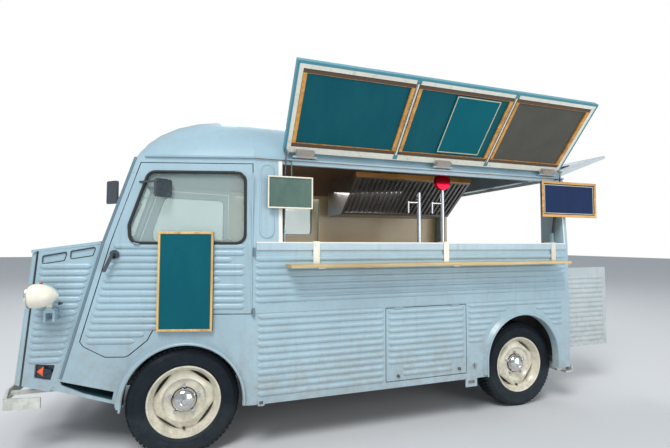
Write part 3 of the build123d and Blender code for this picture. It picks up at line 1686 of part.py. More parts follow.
# Inside: worktop on the serving side, up to the wheel box
worktop_back_y = -430
worktop_low_z = 1000
worktop_sheet = 36
worktop_board = 20
counter_near_y = -body_half + wall + 5
counter_foot_z = floor_z + floor_sheet
with BuildPart() as worktop:
    block(
        (opening_start_x + 20, wheel_box_start - 20),
        (counter_near_y, worktop_back_y - 30),
        (counter_foot_z + 0.3, worktop_low_z),
    )
    block(
        (opening_start_x + 20 + worktop_board, wheel_box_start - 20 - worktop_board),
        (counter_near_y + worktop_board, worktop_back_y),
        (counter_foot_z + 30, worktop_low_z - 30),
        Mode.SUBTRACT,
    )
    block(
        (opening_start_x + 20, opening_end_x - 55),
        (counter_near_y - 2, worktop_back_y),
        (worktop_low_z, worktop_low_z + worktop_sheet),
    )

# Extraction hood: a box with one sloping face, where the filter's bars stand in a sunk bay
hood_start_x = opening_start_x + 825
hood_end_x = opening_end_x - 315
hood_lip_y = -200
hood_toe_y = 200
hood_back_y = 620
hood_low_z = 1580
hood_lip_z = 1893
hood_top_z = 1935
hood_section = [
    (hood_lip_y, hood_top_z),
    (hood_lip_y, hood_lip_z),
    (hood_toe_y, hood_low_z),
    (hood_back_y, hood_low_z),
    (hood_back_y, hood_top_z),
]
filter_slope = atan2(hood_lip_z - hood_low_z, hood_toe_y - hood_lip_y)
filter_length = hypot(hood_lip_z - hood_low_z, hood_toe_y - hood_lip_y)
filter_plane = Plane(
    origin=(hood_start_x, hood_toe_y, hood_low_z),
    x_dir=(1, 0, 0),
    z_dir=(0, -sin(filter_slope), -cos(filter_slope)),
)
filter_edge = 28
filter_depth = 24
filter_bars = 24
bar_pitch = (hood_end_x - hood_start_x - 2 * filter_edge) / filter_bars
with BuildPart() as roof_space:
    extrude(
        roof_face(Plane.YZ.offset(pillar_x), body_half - eaves_lean, roof_rise, roof_sheet + 0.4),
        amount=body_end_x - pillar_x,
    )
duct_x = (hood_start_x + hood_end_x) / 2
duct_half = 100
duct_near_y = 390
duct_depth = 170
with BuildPart() as hood_duct:
    block(
        (duct_x - duct_half, duct_x + duct_half),
        (duct_near_y, duct_near_y + duct_depth),
        (hood_top_z - 2, eaves_z + roof_rise),
    )
    add(roof_space.part, mode=Mode.INTERSECT)
with BuildPart() as extraction_hood:
    add(front_prism(hood_section, hood_start_x, hood_end_x))
    with BuildSketch(filter_plane):
        with Locations(((hood_end_x - hood_start_x) / 2, filter_length / 2)):
            Rectangle(hood_end_x - hood_start_x - 2 * filter_edge, filter_length - 2 * filter_edge)
    extrude(amount=-filter_depth, mode=Mode.SUBTRACT)
    with BuildSketch(filter_plane.offset(-filter_depth)):
        for bar in range(filter_bars):
            with Locations((filter_edge + bar_pitch * (bar + 0.5), filter_length / 2)):
                Rectangle(bar_pitch * 0.45, filter_length - 2 * filter_edge)
    extrude(amount=filter_depth - 6)
    add(hood_duct.part)

# Two draught poles on the worktop, each with a tap lever; the taller one carries a round badge
pole_y = -700
pole_radius = 16
pole_foot_z = worktop_low_z + worktop_sheet + 0.3
tap_z = 1622
tap_reach = 95
badge_radius = 66
badge_z = 1800
# columns: place along the opening, height of the pole's top
pole_table = [(opening_start_x + 1165, 1700), (opening_start_x + 1382, badge_z)]
with BuildPart() as tap_column:
    for pole_x, pole_top_z in pole_table:
        disc((pole_x, pole_y, (pole_foot_z + pole_top_z) / 2), pole_radius, pole_top_z - pole_foot_z, "Z")
        disc((pole_x, pole_y, pole_foot_z + 6), 2.4 * pole_radius, 12, "Z")
        disc((pole_x - tap_reach / 2, pole_y, tap_z), 8, tap_reach, "X")
        disc((pole_x - tap_reach, pole_y, tap_z - 38), 8, 92, "Z")
    disc((pole_table[1][0], pole_y, badge_z), badge_radius, 2.5 * pole_radius, "Y")

# Two cab seats, dashboard and steering wheel
seat_inner_y = 270
seat_outer_y = 690
seat_front_x = -190
seat_back_x = 300
seat_cushion = 110
seat_top_z = 1330
with BuildPart() as seats:
    for half in (-1, 1):
        block(
            (seat_front_x, seat_back_x - 50),
            (half * seat_inner_y, half * seat_outer_y),
            (house_z + 0.3, house_z + seat_cushion),
        )
        block(
            (seat_back_x - 80, seat_back_x),
            (half * seat_inner_y, half * seat_outer_y),
            (house_z + seat_cushion / 2, seat_top_z),
        )
wheel_tilt = 35
steer_centre = (-215, -430, 1180)
column_radius = 15
column_length = 380


def column_bar(radius):
    """Bar along the steering column, from the wheel's hub down and forwards."""
    with BuildPart() as bar:
        with Locations(Location(steer_centre, (0, wheel_tilt, 0)) * Location((0, 0, -column_length / 2))):
            Cylinder(radius, column_length)
    return bar.part


with BuildPart() as dashboard:
    block((-440, -330), (-600, 600), (1120, 1230))
    block((-580, -420), (-640, 640), (1100, 1250))
    add(cab_inside, mode=Mode.INTERSECT)
    block((-385, -325), (steer_centre[1] - 28, steer_centre[1] + 28), (950, 1130))
    add(column_bar(column_radius + 0.5), mode=Mode.SUBTRACT)
with BuildPart() as steering_wheel:
    with Locations(Location(steer_centre, (0, wheel_tilt, 0))):
        Torus(205, 11)
        Cylinder(32, 24)
        Box(400, 16, 8)
    add(column_bar(column_radius))

pieces = {
    "cab_door_left": cab_door_left,
    "door_fittings_left": door_fittings_left,
    "door_fittings_right": door_fittings_right,
    "door_glass_left": door_glass_left,
    "door_board": door_board,
    "cab_shell": cab_shell,
    "windscreen": windscreen,
    "cab_roof": cab_roof,
    "load_roof": load_roof,
    "side_left": side_left,
    "serving_sill": serving_sill,
    "locker_flap_left": locker_flap_left,
    "side_right": side_right,
    "sliding_door_right": sliding_door_right,
    "slide_glass": slide_glass,
    "rear_frame": rear_end,
    "rear_door_left": rear_door_left,
    "rear_door_right": rear_door_right,
    "tailgate": tailgate,
    "tailgate_glass": tailgate_glass,
    "nose_sides": nose_sides,
    "front_cowl": front_cowl,
    "bonnet_lid": bonnet_lid,
    "headlamps": headlamps,
    "headlamp_glasses": headlamp_glasses,
    "indicators": indicators,
    "bumpers": bumpers,
    "chassis_frame": chassis,
    "load_floor": load_floor,
    "cab_floor": cab_floor,
    "engine_block": engine_block,
    "front_suspension": front_suspension,
    "knuckle_left": knuckle_left,
    "knuckle_right": knuckle_right,
    "rear_axle": rear_axle,
    "serving_hatch": serving_hatch,
    "menu_boards": menu_boards,
    "board_frames": board_frames,
    "hatch_fittings": hatch_fittings,
    "strut_tubes": strut_tubes,
    "strut_rods": strut_rods,
    "shelf_brackets": shelf_brackets,
    "counter_shelf": counter_shelf,
    "side_signs": side_signs,
    "worktop": worktop,
    "extraction_hood": extraction_hood,
    "tap_column": tap_column,
    "seats": seats,
    "dashboard": dashboard,
    "steering_wheel": steering_wheel,
}
for name, piece in pieces.items():
    write_piece(piece, name)
for name, piece in (
    ("cab_door_right", cab_door_left),
    ("door_glass_right", door_glass_left),
):
    with BuildPart() as other_side:
        add(mirrored(piece.part))
    write_piece(other_side, name)
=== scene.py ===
"""Looks of the food truck: paint, glass, rubber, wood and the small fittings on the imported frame."""

import math

import bmesh
import bpy
from mathutils import Matrix, Vector


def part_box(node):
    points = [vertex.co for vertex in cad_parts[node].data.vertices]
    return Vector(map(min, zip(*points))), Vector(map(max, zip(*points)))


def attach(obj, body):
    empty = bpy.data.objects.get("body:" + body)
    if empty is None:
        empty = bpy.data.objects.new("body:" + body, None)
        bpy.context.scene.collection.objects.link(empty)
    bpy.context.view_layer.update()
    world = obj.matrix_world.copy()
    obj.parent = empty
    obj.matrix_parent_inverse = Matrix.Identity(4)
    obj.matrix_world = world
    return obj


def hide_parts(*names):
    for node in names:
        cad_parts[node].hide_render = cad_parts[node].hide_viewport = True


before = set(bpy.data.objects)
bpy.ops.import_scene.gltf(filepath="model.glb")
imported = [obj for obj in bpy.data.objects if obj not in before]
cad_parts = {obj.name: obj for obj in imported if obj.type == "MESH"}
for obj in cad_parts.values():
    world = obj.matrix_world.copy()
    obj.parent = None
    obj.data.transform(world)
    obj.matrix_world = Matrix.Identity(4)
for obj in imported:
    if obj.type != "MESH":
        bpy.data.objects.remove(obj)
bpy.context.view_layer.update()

# The drawing's origin, below the front axle on the centre plane, as it stands in the row. The two
# front rims give it, and every place below is in the drawing's millimetres.
left_rim_low, left_rim_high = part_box("rim_front_left")
right_rim_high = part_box("rim_front_right")[1]
axle_x = (left_rim_low.x + left_rim_high.x) / 2
centre_y = (left_rim_low.y + right_rim_high.y) / 2


def row_x(x):
    """The row's X, in metres, of an x in the drawing."""
    return axle_x + x / 1000


def at(x, y, z):
    """A place in the drawing's millimetres, as a point of the row."""
    return Vector((row_x(x), centre_y + y / 1000, z / 1000))


# Body panels: thin pressed steel, spot-welded and painted pale grey-blue. The paint has faded in
# patches, rain has drawn faint runs down it, road dust lies low down and the edges have chipped.
def new_material(name):
    """A material with its node tree and its principled shader."""
    material = bpy.data.materials.new(name)
    material.use_nodes = True
    return material, material.node_tree, material.node_tree.nodes["Principled BSDF"]


def fed(tree, socket, value):
    """Sets an input to a plain value, or links it to another node's output."""
    if isinstance(value, bpy.types.NodeSocket):
        tree.links.new(value, socket)
    else:
        socket.default_value = value


def given(tree, node, **inputs):
    """A node with its inputs fed by name; an underscore stands for a space."""
    for name, value in inputs.items():
        fed(tree, node.inputs[name.replace("_", " ")], value)
    return node


def added(tree, kind, **inputs):
    """A new node with its inputs fed."""
    return given(tree, tree.nodes.new(kind), **inputs)


def cloud(tree, scale, detail=6, stretch=(1, 1, 1), rough=0.6):
    """Cloudy noise over object coordinates; a stretch under 1 draws it out along that axis."""
    place = added(tree, "ShaderNodeTexCoord").outputs["Object"]
    spot = added(tree, "ShaderNodeMapping", Vector=place, Scale=stretch).outputs["Vector"]
    noise = added(tree, "ShaderNodeTexNoise", Vector=spot, Scale=scale, Detail=detail, Roughness=rough)
    return noise.outputs["Fac"]


def ranged(tree, value, low, high, to_low=0.0, to_high=1.0):
    """A value taken from one range to another, and kept inside it."""
    limits = {"From_Min": low, "From_Max": high, "To_Min": to_low, "To_Max": to_high}
    return added(tree, "ShaderNodeMapRange", Value=value, **limits).outputs["Result"]


def worked(tree, operation, *values):
    """One sum on values that are each a node's output or a number."""
    node = added(tree, "ShaderNodeMath")
    node.operation = operation
    for socket, value in zip(node.inputs, values):
        fed(tree, socket, value)
    return node.outputs["Value"]


def blended(tree, first, second, amount):
    """Two colours, each a node's output or red, green and blue, mixed by an amount."""
    mix = added(tree, "ShaderNodeMix")
    mix.data_type = "RGBA"
    first, second = ((*colour, 1) if isinstance(colour, tuple) else colour for colour in (first, second))
    return given(tree, mix, A=first, B=second, Factor=amount).outputs["Result"]


def place_part(tree, axis):
    """One object coordinate: X, Y or Z."""
    place = added(tree, "ShaderNodeTexCoord").outputs["Object"]
    return added(tree, "ShaderNodeSeparateXYZ", Vector=place).outputs[axis]


def facing(tree, axis):
    """How far a surface faces along an axis, -1 to 1."""
    normal = added(tree, "ShaderNodeNewGeometry").outputs["Normal"]
    return added(tree, "ShaderNodeSeparateXYZ", Vector=normal).outputs[axis]


def shade(colour, factor):
    """A colour made darker or paler, never past white."""
    return tuple(min(1.0, part * factor) for part in colour)


def weathered(
    name, colour, dust=(0.30, 0.29, 0.26), rough=0.4, metal=0.0, coat=0.0, wear=0.5, dust_top=0.95
):
    """Worn paint or bare metal; dust settles below dust_top, in metres above the ground."""
    material, tree, shader = new_material(name)
    patches = cloud(tree, 2.4, 5)
    mottle = cloud(tree, 16, 8, rough=0.7)
    low_down = ranged(tree, place_part(tree, "Z"), dust_top, 0.25)
    rust, chip_from = (0.13, 0.06, 0.035), 0.735 - 0.03 * wear
    # columns: colour laid over, and how much of it: runs, grime, settled dust and chips
    layers = [
        (shade(dust, 0.75), ranged(tree, cloud(tree, 26, 4, (1, 1, 0.07)), 0.56, 0.78, 0.0, 0.5 * wear)),
        (dust, worked(tree, "MULTIPLY", ranged(tree, mottle, 0.52, 0.74), 0.35 * wear)),
        (dust, worked(tree, "MULTIPLY", low_down, ranged(tree, mottle, 0.38, 0.66, 0.12, 0.75))),
        (rust, ranged(tree, cloud(tree, 85, 3), chip_from, chip_from + 0.015, 0.0, 0.85)),
    ]
    tone = blended(tree, shade(colour, 0.9), shade(colour, 1.07), ranged(tree, patches, 0.3, 0.7))
    for over, amount in layers:
        tone = blended(tree, tone, over, amount)
    gloss = ranged(tree, mottle, 0.3, 0.75, rough * 0.75, min(1.0, rough * 1.5))
    dents = added(tree, "ShaderNodeBump", Strength=0.16, Distance=0.012, Height=patches)
    skin = added(tree, "ShaderNodeBump", Strength=0.05, Distance=0.001, Height=cloud(tree, 320, 2))
    given(tree, skin, Normal=dents.outputs["Normal"])
    given(tree, shader, Base_Color=tone, Roughness=gloss, Normal=skin.outputs["Normal"])
    given(tree, shader, Metallic=metal, Coat_Weight=coat, Coat_Roughness=0.12)
    return material


def over_part(material, colour, amount_of, mottled=0.08):
    """Lays a second colour over a weathered one, where amount_of(tree) is 1."""
    tree = material.node_tree
    shader = tree.nodes["Principled BSDF"]
    below = shader.inputs["Base Color"].links[0].from_socket
    tone = blended(tree, shade(colour, 1 - mottled), shade(colour, 1 + mottled), cloud(tree, 5))
    given(tree, shader, Base_Color=blended(tree, below, tone, amount_of(tree)))


def past(axis, limit):
    """For over_part: 1 past a limit along one of the row's axes, in metres."""
    return lambda tree: worked(tree, "GREATER_THAN", place_part(tree, axis), limit)


def short_of(axis, limit):
    """For over_part: 1 short of a limit along one of the row's axes, in metres."""
    return lambda tree: worked(tree, "LESS_THAN", place_part(tree, axis), limit)


def off_centre(tree):
    """Distance from the centre plane, in metres, below zero on the left."""
    return worked(tree, "SUBTRACT", place_part(tree, "Y"), centre_y)


def dress(material, *names):
    """Gives CAD nodes a material."""
    for name in names:
        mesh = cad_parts[name].data
        mesh.materials.clear()
        mesh.materials.append(material)


def panel_paint(name, colour, rough=0.36, wear=0.5):
    """Body enamel over pressed steel."""
    return weathered(name, colour, rough=rough, coat=0.3, wear=wear)


body_colour = (0.335, 0.475, 0.545)
# Painted shade: the roofs take a darker copy of the body colour, against the strong light from above.
roof_shaded_colour = (0.30, 0.44, 0.51)
lining_colour = (0.85, 0.66, 0.40)
body_paint = panel_paint("body_paint", body_colour)
dress(body_paint, "cab_door_left", "cab_door_right", "nose_sides", "front_cowl")
dress(body_paint, "bonnet_lid", "locker_flap_left", "hatch_fittings")
shell_paint = panel_paint("shell_paint", body_colour)
cab_rear_x, cab_half_width, cab_taper = 395, 985, math.radians(16)
step_place = {"behind": 0.012, "top": 0.61, "rear": -250}


def step_recess_shade(tree):
    """1 inside the entry steps, behind the cab's side planes, where a dark teal is painted as shade."""
    ahead = worked(tree, "SUBTRACT", place_part(tree, "X"), row_x(cab_rear_x))
    half = worked(tree, "ADD", worked(tree, "MULTIPLY", ahead, math.tan(cab_taper)), cab_half_width / 1000)
    depth = worked(tree, "SUBTRACT", half, worked(tree, "ABSOLUTE", off_centre(tree)))
    inside = worked(tree, "GREATER_THAN", depth, step_place["behind"])
    low = short_of("Z", step_place["top"])(tree)
    front = short_of("X", row_x(step_place["rear"]))(tree)
    return worked(tree, "MULTIPLY", inside, worked(tree, "MULTIPLY", low, front))


# Painted shade: a dark teal fills the entry steps behind the cab's side planes.
over_part(shell_paint, (0.02, 0.085, 0.11), step_recess_shade)
dress(shell_paint, "cab_shell")
# Painted light: the rear doors and tailgate take a paler, greyer copy of the body colour.
rear_lit_paint = panel_paint("rear_lit_paint", (0.50, 0.56, 0.575))
dress(rear_lit_paint, "rear_door_left", "rear_door_right", "tailgate")
roof_paint = panel_paint("roof_paint", roof_shaded_colour, 0.34, 0.35)
dress(roof_paint, "cab_roof")


def inside_walls(tree):
    """1 where a side wall faces the centre plane."""
    outwards = worked(tree, "MULTIPLY", off_centre(tree), facing(tree, "Y"))
    return worked(tree, "LESS_THAN", outwards, -0.3)


def shaded_underside(tree):
    """1 where a surface faces down; there the load roof gets a painted shade."""
    return worked(tree, "LESS_THAN", facing(tree, "Z"), -0.2)


wall_paint = panel_paint("wall_paint", body_colour)
over_part(wall_paint, lining_colour, inside_walls)
dress(wall_paint, "side_left", "side_right", "sliding_door_right", "rear_frame")
ceiling_paint = panel_paint("ceiling_paint", roof_shaded_colour, 0.34, 0.35)
# Painted shade: the load roof's downward faces are painted dark brown.
over_part(ceiling_paint, (0.30, 0.17, 0.10), shaded_underside)
dress(ceiling_paint, "load_roof")

# Windows: toughened glass in black rubber channels. The rubber is a drawn bead that stands a few
# millimetres proud of the panel all round, matt and slightly perished.
seal_radius, seal_proud = 0.010, 3
window_corners = {"door": 55, "screen": 22, "slide": 40, "tail": 14}
slide_proud = 2


def shown(tree, amount, first, second, end):
    """Mixes two shaders by an amount and sends them to the tree's end."""
    mix = added(tree, "ShaderNodeMixShader", Fac=amount)
    fed(tree, mix.inputs[1], first)
    fed(tree, mix.inputs[2], second)
    given(tree, tree.nodes[end], Surface=mix.outputs["Shader"])


def clear(name, tint, rough=0.03, see_through=0.75):
    """A clear sheet: mostly see-through, with faint smears in its gloss."""
    material, tree, shader = new_material(name)
    gloss = ranged(tree, cloud(tree, 7, 8), 0.35, 0.7, rough, rough * 5)
    given(tree, shader, Roughness=gloss, Base_Color=blended(tree, tint, shade(tint, 0.8), cloud(tree, 3)))
    pale = (*[0.55 + 0.45 * part for part in tint], 1)
    clearing = added(tree, "ShaderNodeBsdfTransparent", Color=pale)
    shown(tree, see_through, shader.outputs["BSDF"], clearing.outputs["BSDF"], "Material Output")
    return material


window_glass = clear("window_glass", (0.72, 0.84, 0.82))
dress(window_glass, "door_glass_left", "door_glass_right", "windscreen", "slide_glass", "tailgate_glass")
seal_rubber = weathered("seal_rubber", (0.018, 0.019, 0.02), dust=(0.09, 0.09, 0.085), rough=0.62, wear=0.4)


def rounded_path(corners, radius, steps=7):
    """A closed path of (u, v) points along an outline, its corners turned by arcs."""
    path = []
    for index, corner in enumerate(corners):
        corner = Vector(corner)
        back = (Vector(corners[index - 1]) - corner).normalized()
        ahead = (Vector(corners[(index + 1) % len(corners)]) - corner).normalized()
        half_angle = back.angle(ahead) / 2
        centre = corner + (back + ahead).normalized() * radius / math.sin(half_angle)
        start = corner + back * radius / math.tan(half_angle) - centre
        end = corner + ahead * radius / math.tan(half_angle) - centre
        turn = start.angle_signed(end)
        for step in range(steps + 1):
            path.append(tuple(centre + Matrix.Rotation(-turn * step / steps, 2) @ start))
    return path


def ring_faces(count, steps, closed=True):
    """Faces from each step of a section of count points to the next, all the way round."""
    faces = []
    for step in range(steps):
        here, after = step * count, ((step + 1) % steps) * count
        for index in range(count if closed else count - 1):
            following = (index + 1) % count
            faces.append((here + index, here + following, after + following, after + index))
    return faces


def closed_bead(points, radius, sides=8):
    """A round bead along a closed loop of points, as mesh vertices and faces."""
    vertices = []
    for index, point in enumerate(points):
        along = (points[(index + 1) % len(points)] - points[index - 1]).normalized()
        across = along.orthogonal() if index == 0 else (across - along * across.dot(along))
        across.normalize()
        third = along.cross(across)
        for side in range(sides):
            turn = 2 * math.pi * side / sides
            vertices.append(point + (across * math.cos(turn) + third * math.sin(turn)) * radius)
    return vertices, ring_faces(sides, len(points))


def fixed_mesh(name, mesh, body):
    """A finished piece from a mesh that has its material: the body it rides on."""
    made = bpy.data.objects.new(name, mesh)
    bpy.context.scene.collection.objects.link(made)
    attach(made, body)
    return made


def piece(name, shape, material, body, smooth_degrees=35, weld=False):
    """A finished piece from vertices and faces."""
    vertices, faces = shape
    mesh = bpy.data.meshes.new(name)
    mesh.from_pydata([tuple(v) for v in vertices], [], faces)
    form = bmesh.new()
    form.from_mesh(mesh)
    if weld:
        bmesh.ops.remove_doubles(form, verts=form.verts, dist=1e-5)
    bmesh.ops.recalc_face_normals(form, faces=form.faces)
    form.to_mesh(mesh)
    form.free()
    mesh.shade_smooth()
    mesh.set_sharp_from_angle(angle=math.radians(smooth_degrees))
    mesh.materials.append(material)
    return fixed_mesh(name, mesh, body)


def joined(shapes):
    """Several shapes of vertices and faces as one."""
    vertices, faces = [], []
    for more_vertices, more_faces in shapes:
        base = len(vertices)
        vertices += more_vertices
        faces += [tuple(base + index for index in face) for face in more_faces]
    return vertices, faces


def other_side(points):
    """Points mirrored to the other side of the centre plane."""
    return [Vector((point.x, 2 * centre_y - point.y, point.z)) for point in points]


def opposite(shape):
    """The same shape on the other side of the centre plane."""
    vertices, faces = shape
    return other_side(vertices), [face[::-1] for face in faces]


def both(shape):
    """A shape and its opposite as one."""
    return joined([shape, opposite(shape)])


def seal_round(place, corners, radius, steps=7):
    """The bead round a window, whose outline place() lays on its panel."""
    return closed_bead([place(*spot) for spot in rounded_path(corners, radius, steps)], seal_radius)


cab_lean = {"from_z": 1290, "height": 545, "inwards": 33}


def cab_side(x, z, out=0):
    """A place on the left cab side, which narrows towards the front and leans in above the sill."""
    half = cab_half_width - (cab_rear_x - x) * math.tan(cab_taper)
    half -= cab_lean["inwards"] * max(0, z - cab_lean["from_z"]) / cab_lean["height"]
    return at(x, -(half + out), z)


door_window = [(342, 1742), (-236.5, 1742), (-344.9, 1402), (-335, 1292), (342, 1292)]
door_seal = seal_round(lambda x, z: cab_side(x, z, seal_proud), door_window, window_corners["door"])
piece("window_seal_left", door_seal, seal_rubber, "door_left")
piece("window_seal_right", opposite(door_seal), seal_rubber, "door_right")
screen_foot_x, screen_foot_z, screen_lean, screen_height = -497, 1295, 172, 540


def screen_x(z):
    """How far back the cab's leaning front wall lies at a height."""
    return screen_foot_x + screen_lean * (z - screen_foot_z) / screen_height


def screen_place(y, z, out=seal_proud):
    """A place on the cab's leaning front wall."""
    return at(screen_x(z) - out, y, z)


screen_corners = [(-680, 1345), (-18, 1345), (-18, 1782), (-643, 1782)]
left_screen = seal_round(screen_place, screen_corners, window_corners["screen"])
piece("screen_seals", both(left_screen), seal_rubber, "body")
rib_height = 8
slide_skin_y = (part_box("sliding_door_right")[1].y - centre_y) * 1000 - rib_height
slide_corners = [(545, 1388), (1333, 1388), (1333, 1740), (545, 1740)]
slide_seal = seal_round(
    lambda x, z: at(x, slide_skin_y + slide_proud, z), slide_corners, window_corners["slide"]
)
piece("slide_window_seal", slide_seal, seal_rubber, "slider")
tail_hinge_x, tail_hinge_z, tail_turn = 2990, 1882, math.radians(-110)
tail_faces = (2973, 2949)


def tail_place(x, y, z):
    """A place drawn on the closed tailgate, lifted to where the tailgate stands open."""
    ahead, above = x - tail_hinge_x, z - tail_hinge_z
    return at(
        tail_hinge_x + ahead * math.cos(tail_turn) + above * math.sin(tail_turn),
        y,
        tail_hinge_z - ahead * math.sin(tail_turn) + above * math.cos(tail_turn),
    )


tail_corners = [(-520, 1300), (520, 1300), (520, 1720), (-520, 1720)]
tail_seals = [
    seal_round(lambda y, z: tail_place(x, y, z), tail_corners, window_corners["tail"], 3) for x in tail_faces
]
piece("tail_window_seal", joined(tail_seals), seal_rubber, "tail")

# Seams of the shell: a row of dome rivets down the door post on each side, set at one pitch, and
# painted over with the body.
rivet_table = {"x": 386, "low": 936, "high": 1716, "count": 11, "radius": 0.005, "sunk": 1}


def node_tree(name, *sockets):
    """A Geometry Nodes tree with named inputs and a material; gives it, its input and its output."""
    tree = bpy.data.node_groups.new(name, "GeometryNodeTree")
    for label, kind, default in (*sockets, ("Material", "Material", None)):
        socket = tree.interface.new_socket(label, in_out="INPUT", socket_type=f"NodeSocket{kind}")
        if default is not None:
            socket.default_value = default
    tree.interface.new_socket("Geometry", in_out="OUTPUT", socket_type="NodeSocketGeometry")
    return tree, tree.nodes.new("NodeGroupInput").outputs, tree.nodes.new("NodeGroupOutput")


def sent_out(tree, inlet, outlet, made):
    """Ends a tree: its instances made real and given the material."""
    real = added(tree, "GeometryNodeRealizeInstances", Geometry=made).outputs["Geometry"]
    painted = added(tree, "GeometryNodeSetMaterial", Geometry=real, Material=inlet["Material"])
    given(tree, outlet, Geometry=painted.outputs["Geometry"])


def grown(tree, values, material, base=None):
    """The plain mesh that a tree makes with these inputs, from a base mesh where it takes one."""
    holder = bpy.data.objects.new(tree.name, base or bpy.data.meshes.new(tree.name))
    bpy.context.scene.collection.objects.link(holder)
    modifier = holder.modifiers.new("made", "NODES")
    modifier.node_group = tree
    values = {**values, "Material": material}
    for item in tree.interface.items_tree:
        if item.in_out == "INPUT" and item.name in values:
            modifier[item.identifier] = values[item.name]
    bpy.context.view_layer.update()
    evaluated = holder.evaluated_get(bpy.context.evaluated_depsgraph_get())
    mesh = bpy.data.meshes.new_from_object(evaluated)
    holder.modifiers.remove(modifier)
    bpy.data.objects.remove(holder)
    return mesh


rivet_tree, rivet_in, rivet_out = node_tree(
    "rivet_row",
    ("Count", "Int", 2), ("Start", "Vector", None), ("Step", "Vector", None), ("Radius", "Float", 0.005),
)
row = added(
    rivet_tree, "GeometryNodeMeshLine",
    Count=rivet_in["Count"], Start_Location=rivet_in["Start"], Offset=rivet_in["Step"],
)
head = added(rivet_tree, "GeometryNodeMeshUVSphere", Segments=12, Rings=6, Radius=rivet_in["Radius"])
heads = added(
    rivet_tree, "GeometryNodeInstanceOnPoints", Points=row.outputs["Mesh"], Instance=head.outputs["Mesh"]
)
sent_out(rivet_tree, rivet_in, rivet_out, heads.outputs["Instances"])
post_ends = [cab_side(rivet_table["x"], rivet_table[end], -rivet_table["sunk"]) for end in ("low", "high")]
for name, (start, end) in (("left", post_ends), ("right", other_side(post_ends))):
    pitch = (end - start) / (rivet_table["count"] - 1)
    values = {"Count": rivet_table["count"], "Start": start, "Step": pitch, "Radius": rivet_table["radius"]}
    fixed_mesh(f"post_rivets_{name}", grown(rivet_tree, values, body_paint), "body")

# Headlamps: steel pods in cream enamel, each with a chromed rim round its glass. A black knob sits
# behind the pod where its bracket holds it, and a red tell-tale stands on top.
lamp_front_x, lamp_y, lamp_z = -857, 765.7, 982
lamp_rim = [(60, -3), (65, -8), (70, -7), (71.5, -3), (71, 3), (68.5, 4), (66, 0), (61, 0)]
knob_x, knob_drop = -694, 46
knob_section = [(0, -16), (9, -15), (11, -9), (7, -4), (7, 5), (0, 5)]
jewel_x, jewel_rise = -800, 64
jewel_section = [(0, 16), (5, 14.5), (8, 9), (8.5, -6), (0, -6)]
bracket_top = 0.911


def turned(profile, centre, axis, steps=64, closed=True, side=1):
    """A ring or dish turned about an axis from (radius, along) pairs in millimetres."""
    x, y, z = centre
    vertices = []
    for step in range(steps):
        turn = 2 * math.pi * step / steps
        for radius, along in profile:
            across, above, out = radius * math.cos(turn), radius * math.sin(turn), side * along
            if axis == "X":
                vertices.append(at(x + out, y + across, z + above))
            elif axis == "Y":
                vertices.append(at(x + across, y + out, z + above))
            else:
                vertices.append(at(x + across, y + above, z + out))
    return vertices, ring_faces(len(profile), steps, closed)


def turned_pair(profile, centre, *how):
    """The same turned piece on both sides of the centre plane."""
    x, y, z = centre
    return joined([turned(profile, (x, half * y, z), *how) for half in (-1, 1)])


cream_paint = weathered(
    "cream_paint", (0.78, 0.74, 0.60), dust=(0.32, 0.28, 0.21), rough=0.3, coat=0.4, wear=0.4
)
pod_enamel = weathered(
    "pod_enamel", (0.84, 0.79, 0.66), dust=(0.4, 0.34, 0.26), rough=0.25, coat=0.5, wear=0.3
)
over_part(pod_enamel, body_colour, short_of("Z", bracket_top))
dress(pod_enamel, "headlamps")
lamp_glass = clear("lamp_glass", (0.95, 0.95, 0.9), rough=0.08, see_through=0.3)
dress(lamp_glass, "headlamp_glasses")
chrome = weathered("chrome", (0.80, 0.81, 0.82), dust=(0.42, 0.4, 0.37), rough=0.1, metal=1.0, wear=0.25)
rims = turned_pair(lamp_rim, (lamp_front_x, lamp_y, lamp_z), "X")
piece("lamp_rims", rims, chrome, "body")
knob_black_and_hole_shade = weathered("knob_black_and_hole_shade", (0.015, 0.02, 0.03), rough=0.4, wear=0.2)
knobs = turned_pair(knob_section, (knob_x, lamp_y, lamp_z - knob_drop), "X", 20, False)
piece("lamp_knobs", knobs, knob_black_and_hole_shade, "body")
jewel_red = weathered("jewel_red", (0.55, 0.02, 0.03), rough=0.15, coat=0.6, wear=0.1)
jewels = turned_pair(jewel_section, (jewel_x, lamp_y, lamp_z + jewel_rise), "Z", 20, False)
piece("lamp_jewels", jewels, jewel_red, "body")

# Nose seams: a dark rubber strip closes the joint between the cowl and each nose side from top to
# bottom, and two sunk pressings under the bonnet's edge are lined with the same rubber.
nose_half_width, nose_taper = 692, math.radians(9)
nose_seam_ends = ((-860, 1240), (-928, 430))
seam_half, seam_depths = 5, (-3, 1.6)
vent_ends = [(-833, -697), (-679, -538)]
vent_front_z, vent_slope, vent_height, vent_bead = 1208, 0.19, 45, 0.0028
vent_growth, vent_lean = 6, 16


def nose_place(x, z, out=0):
    """A place on the left nose side, which narrows forwards."""
    return at(x, -(nose_half_width - (screen_foot_x - x) * math.tan(nose_taper) + out), z)


def slab(place, first, second, third):
    """A block between two values of each of a place's three measures."""
    corners = [place(a, b, c) for a in first for b in second for c in third]
    return corners, [(0, 1, 3, 2), (4, 6, 7, 5), (0, 4, 5, 1), (2, 3, 7, 6), (0, 2, 6, 4), (1, 5, 7, 3)]


def seam_place(out, end, across):
    """A place on the seam's strip."""
    return nose_place(end[0] + across, end[1], out)


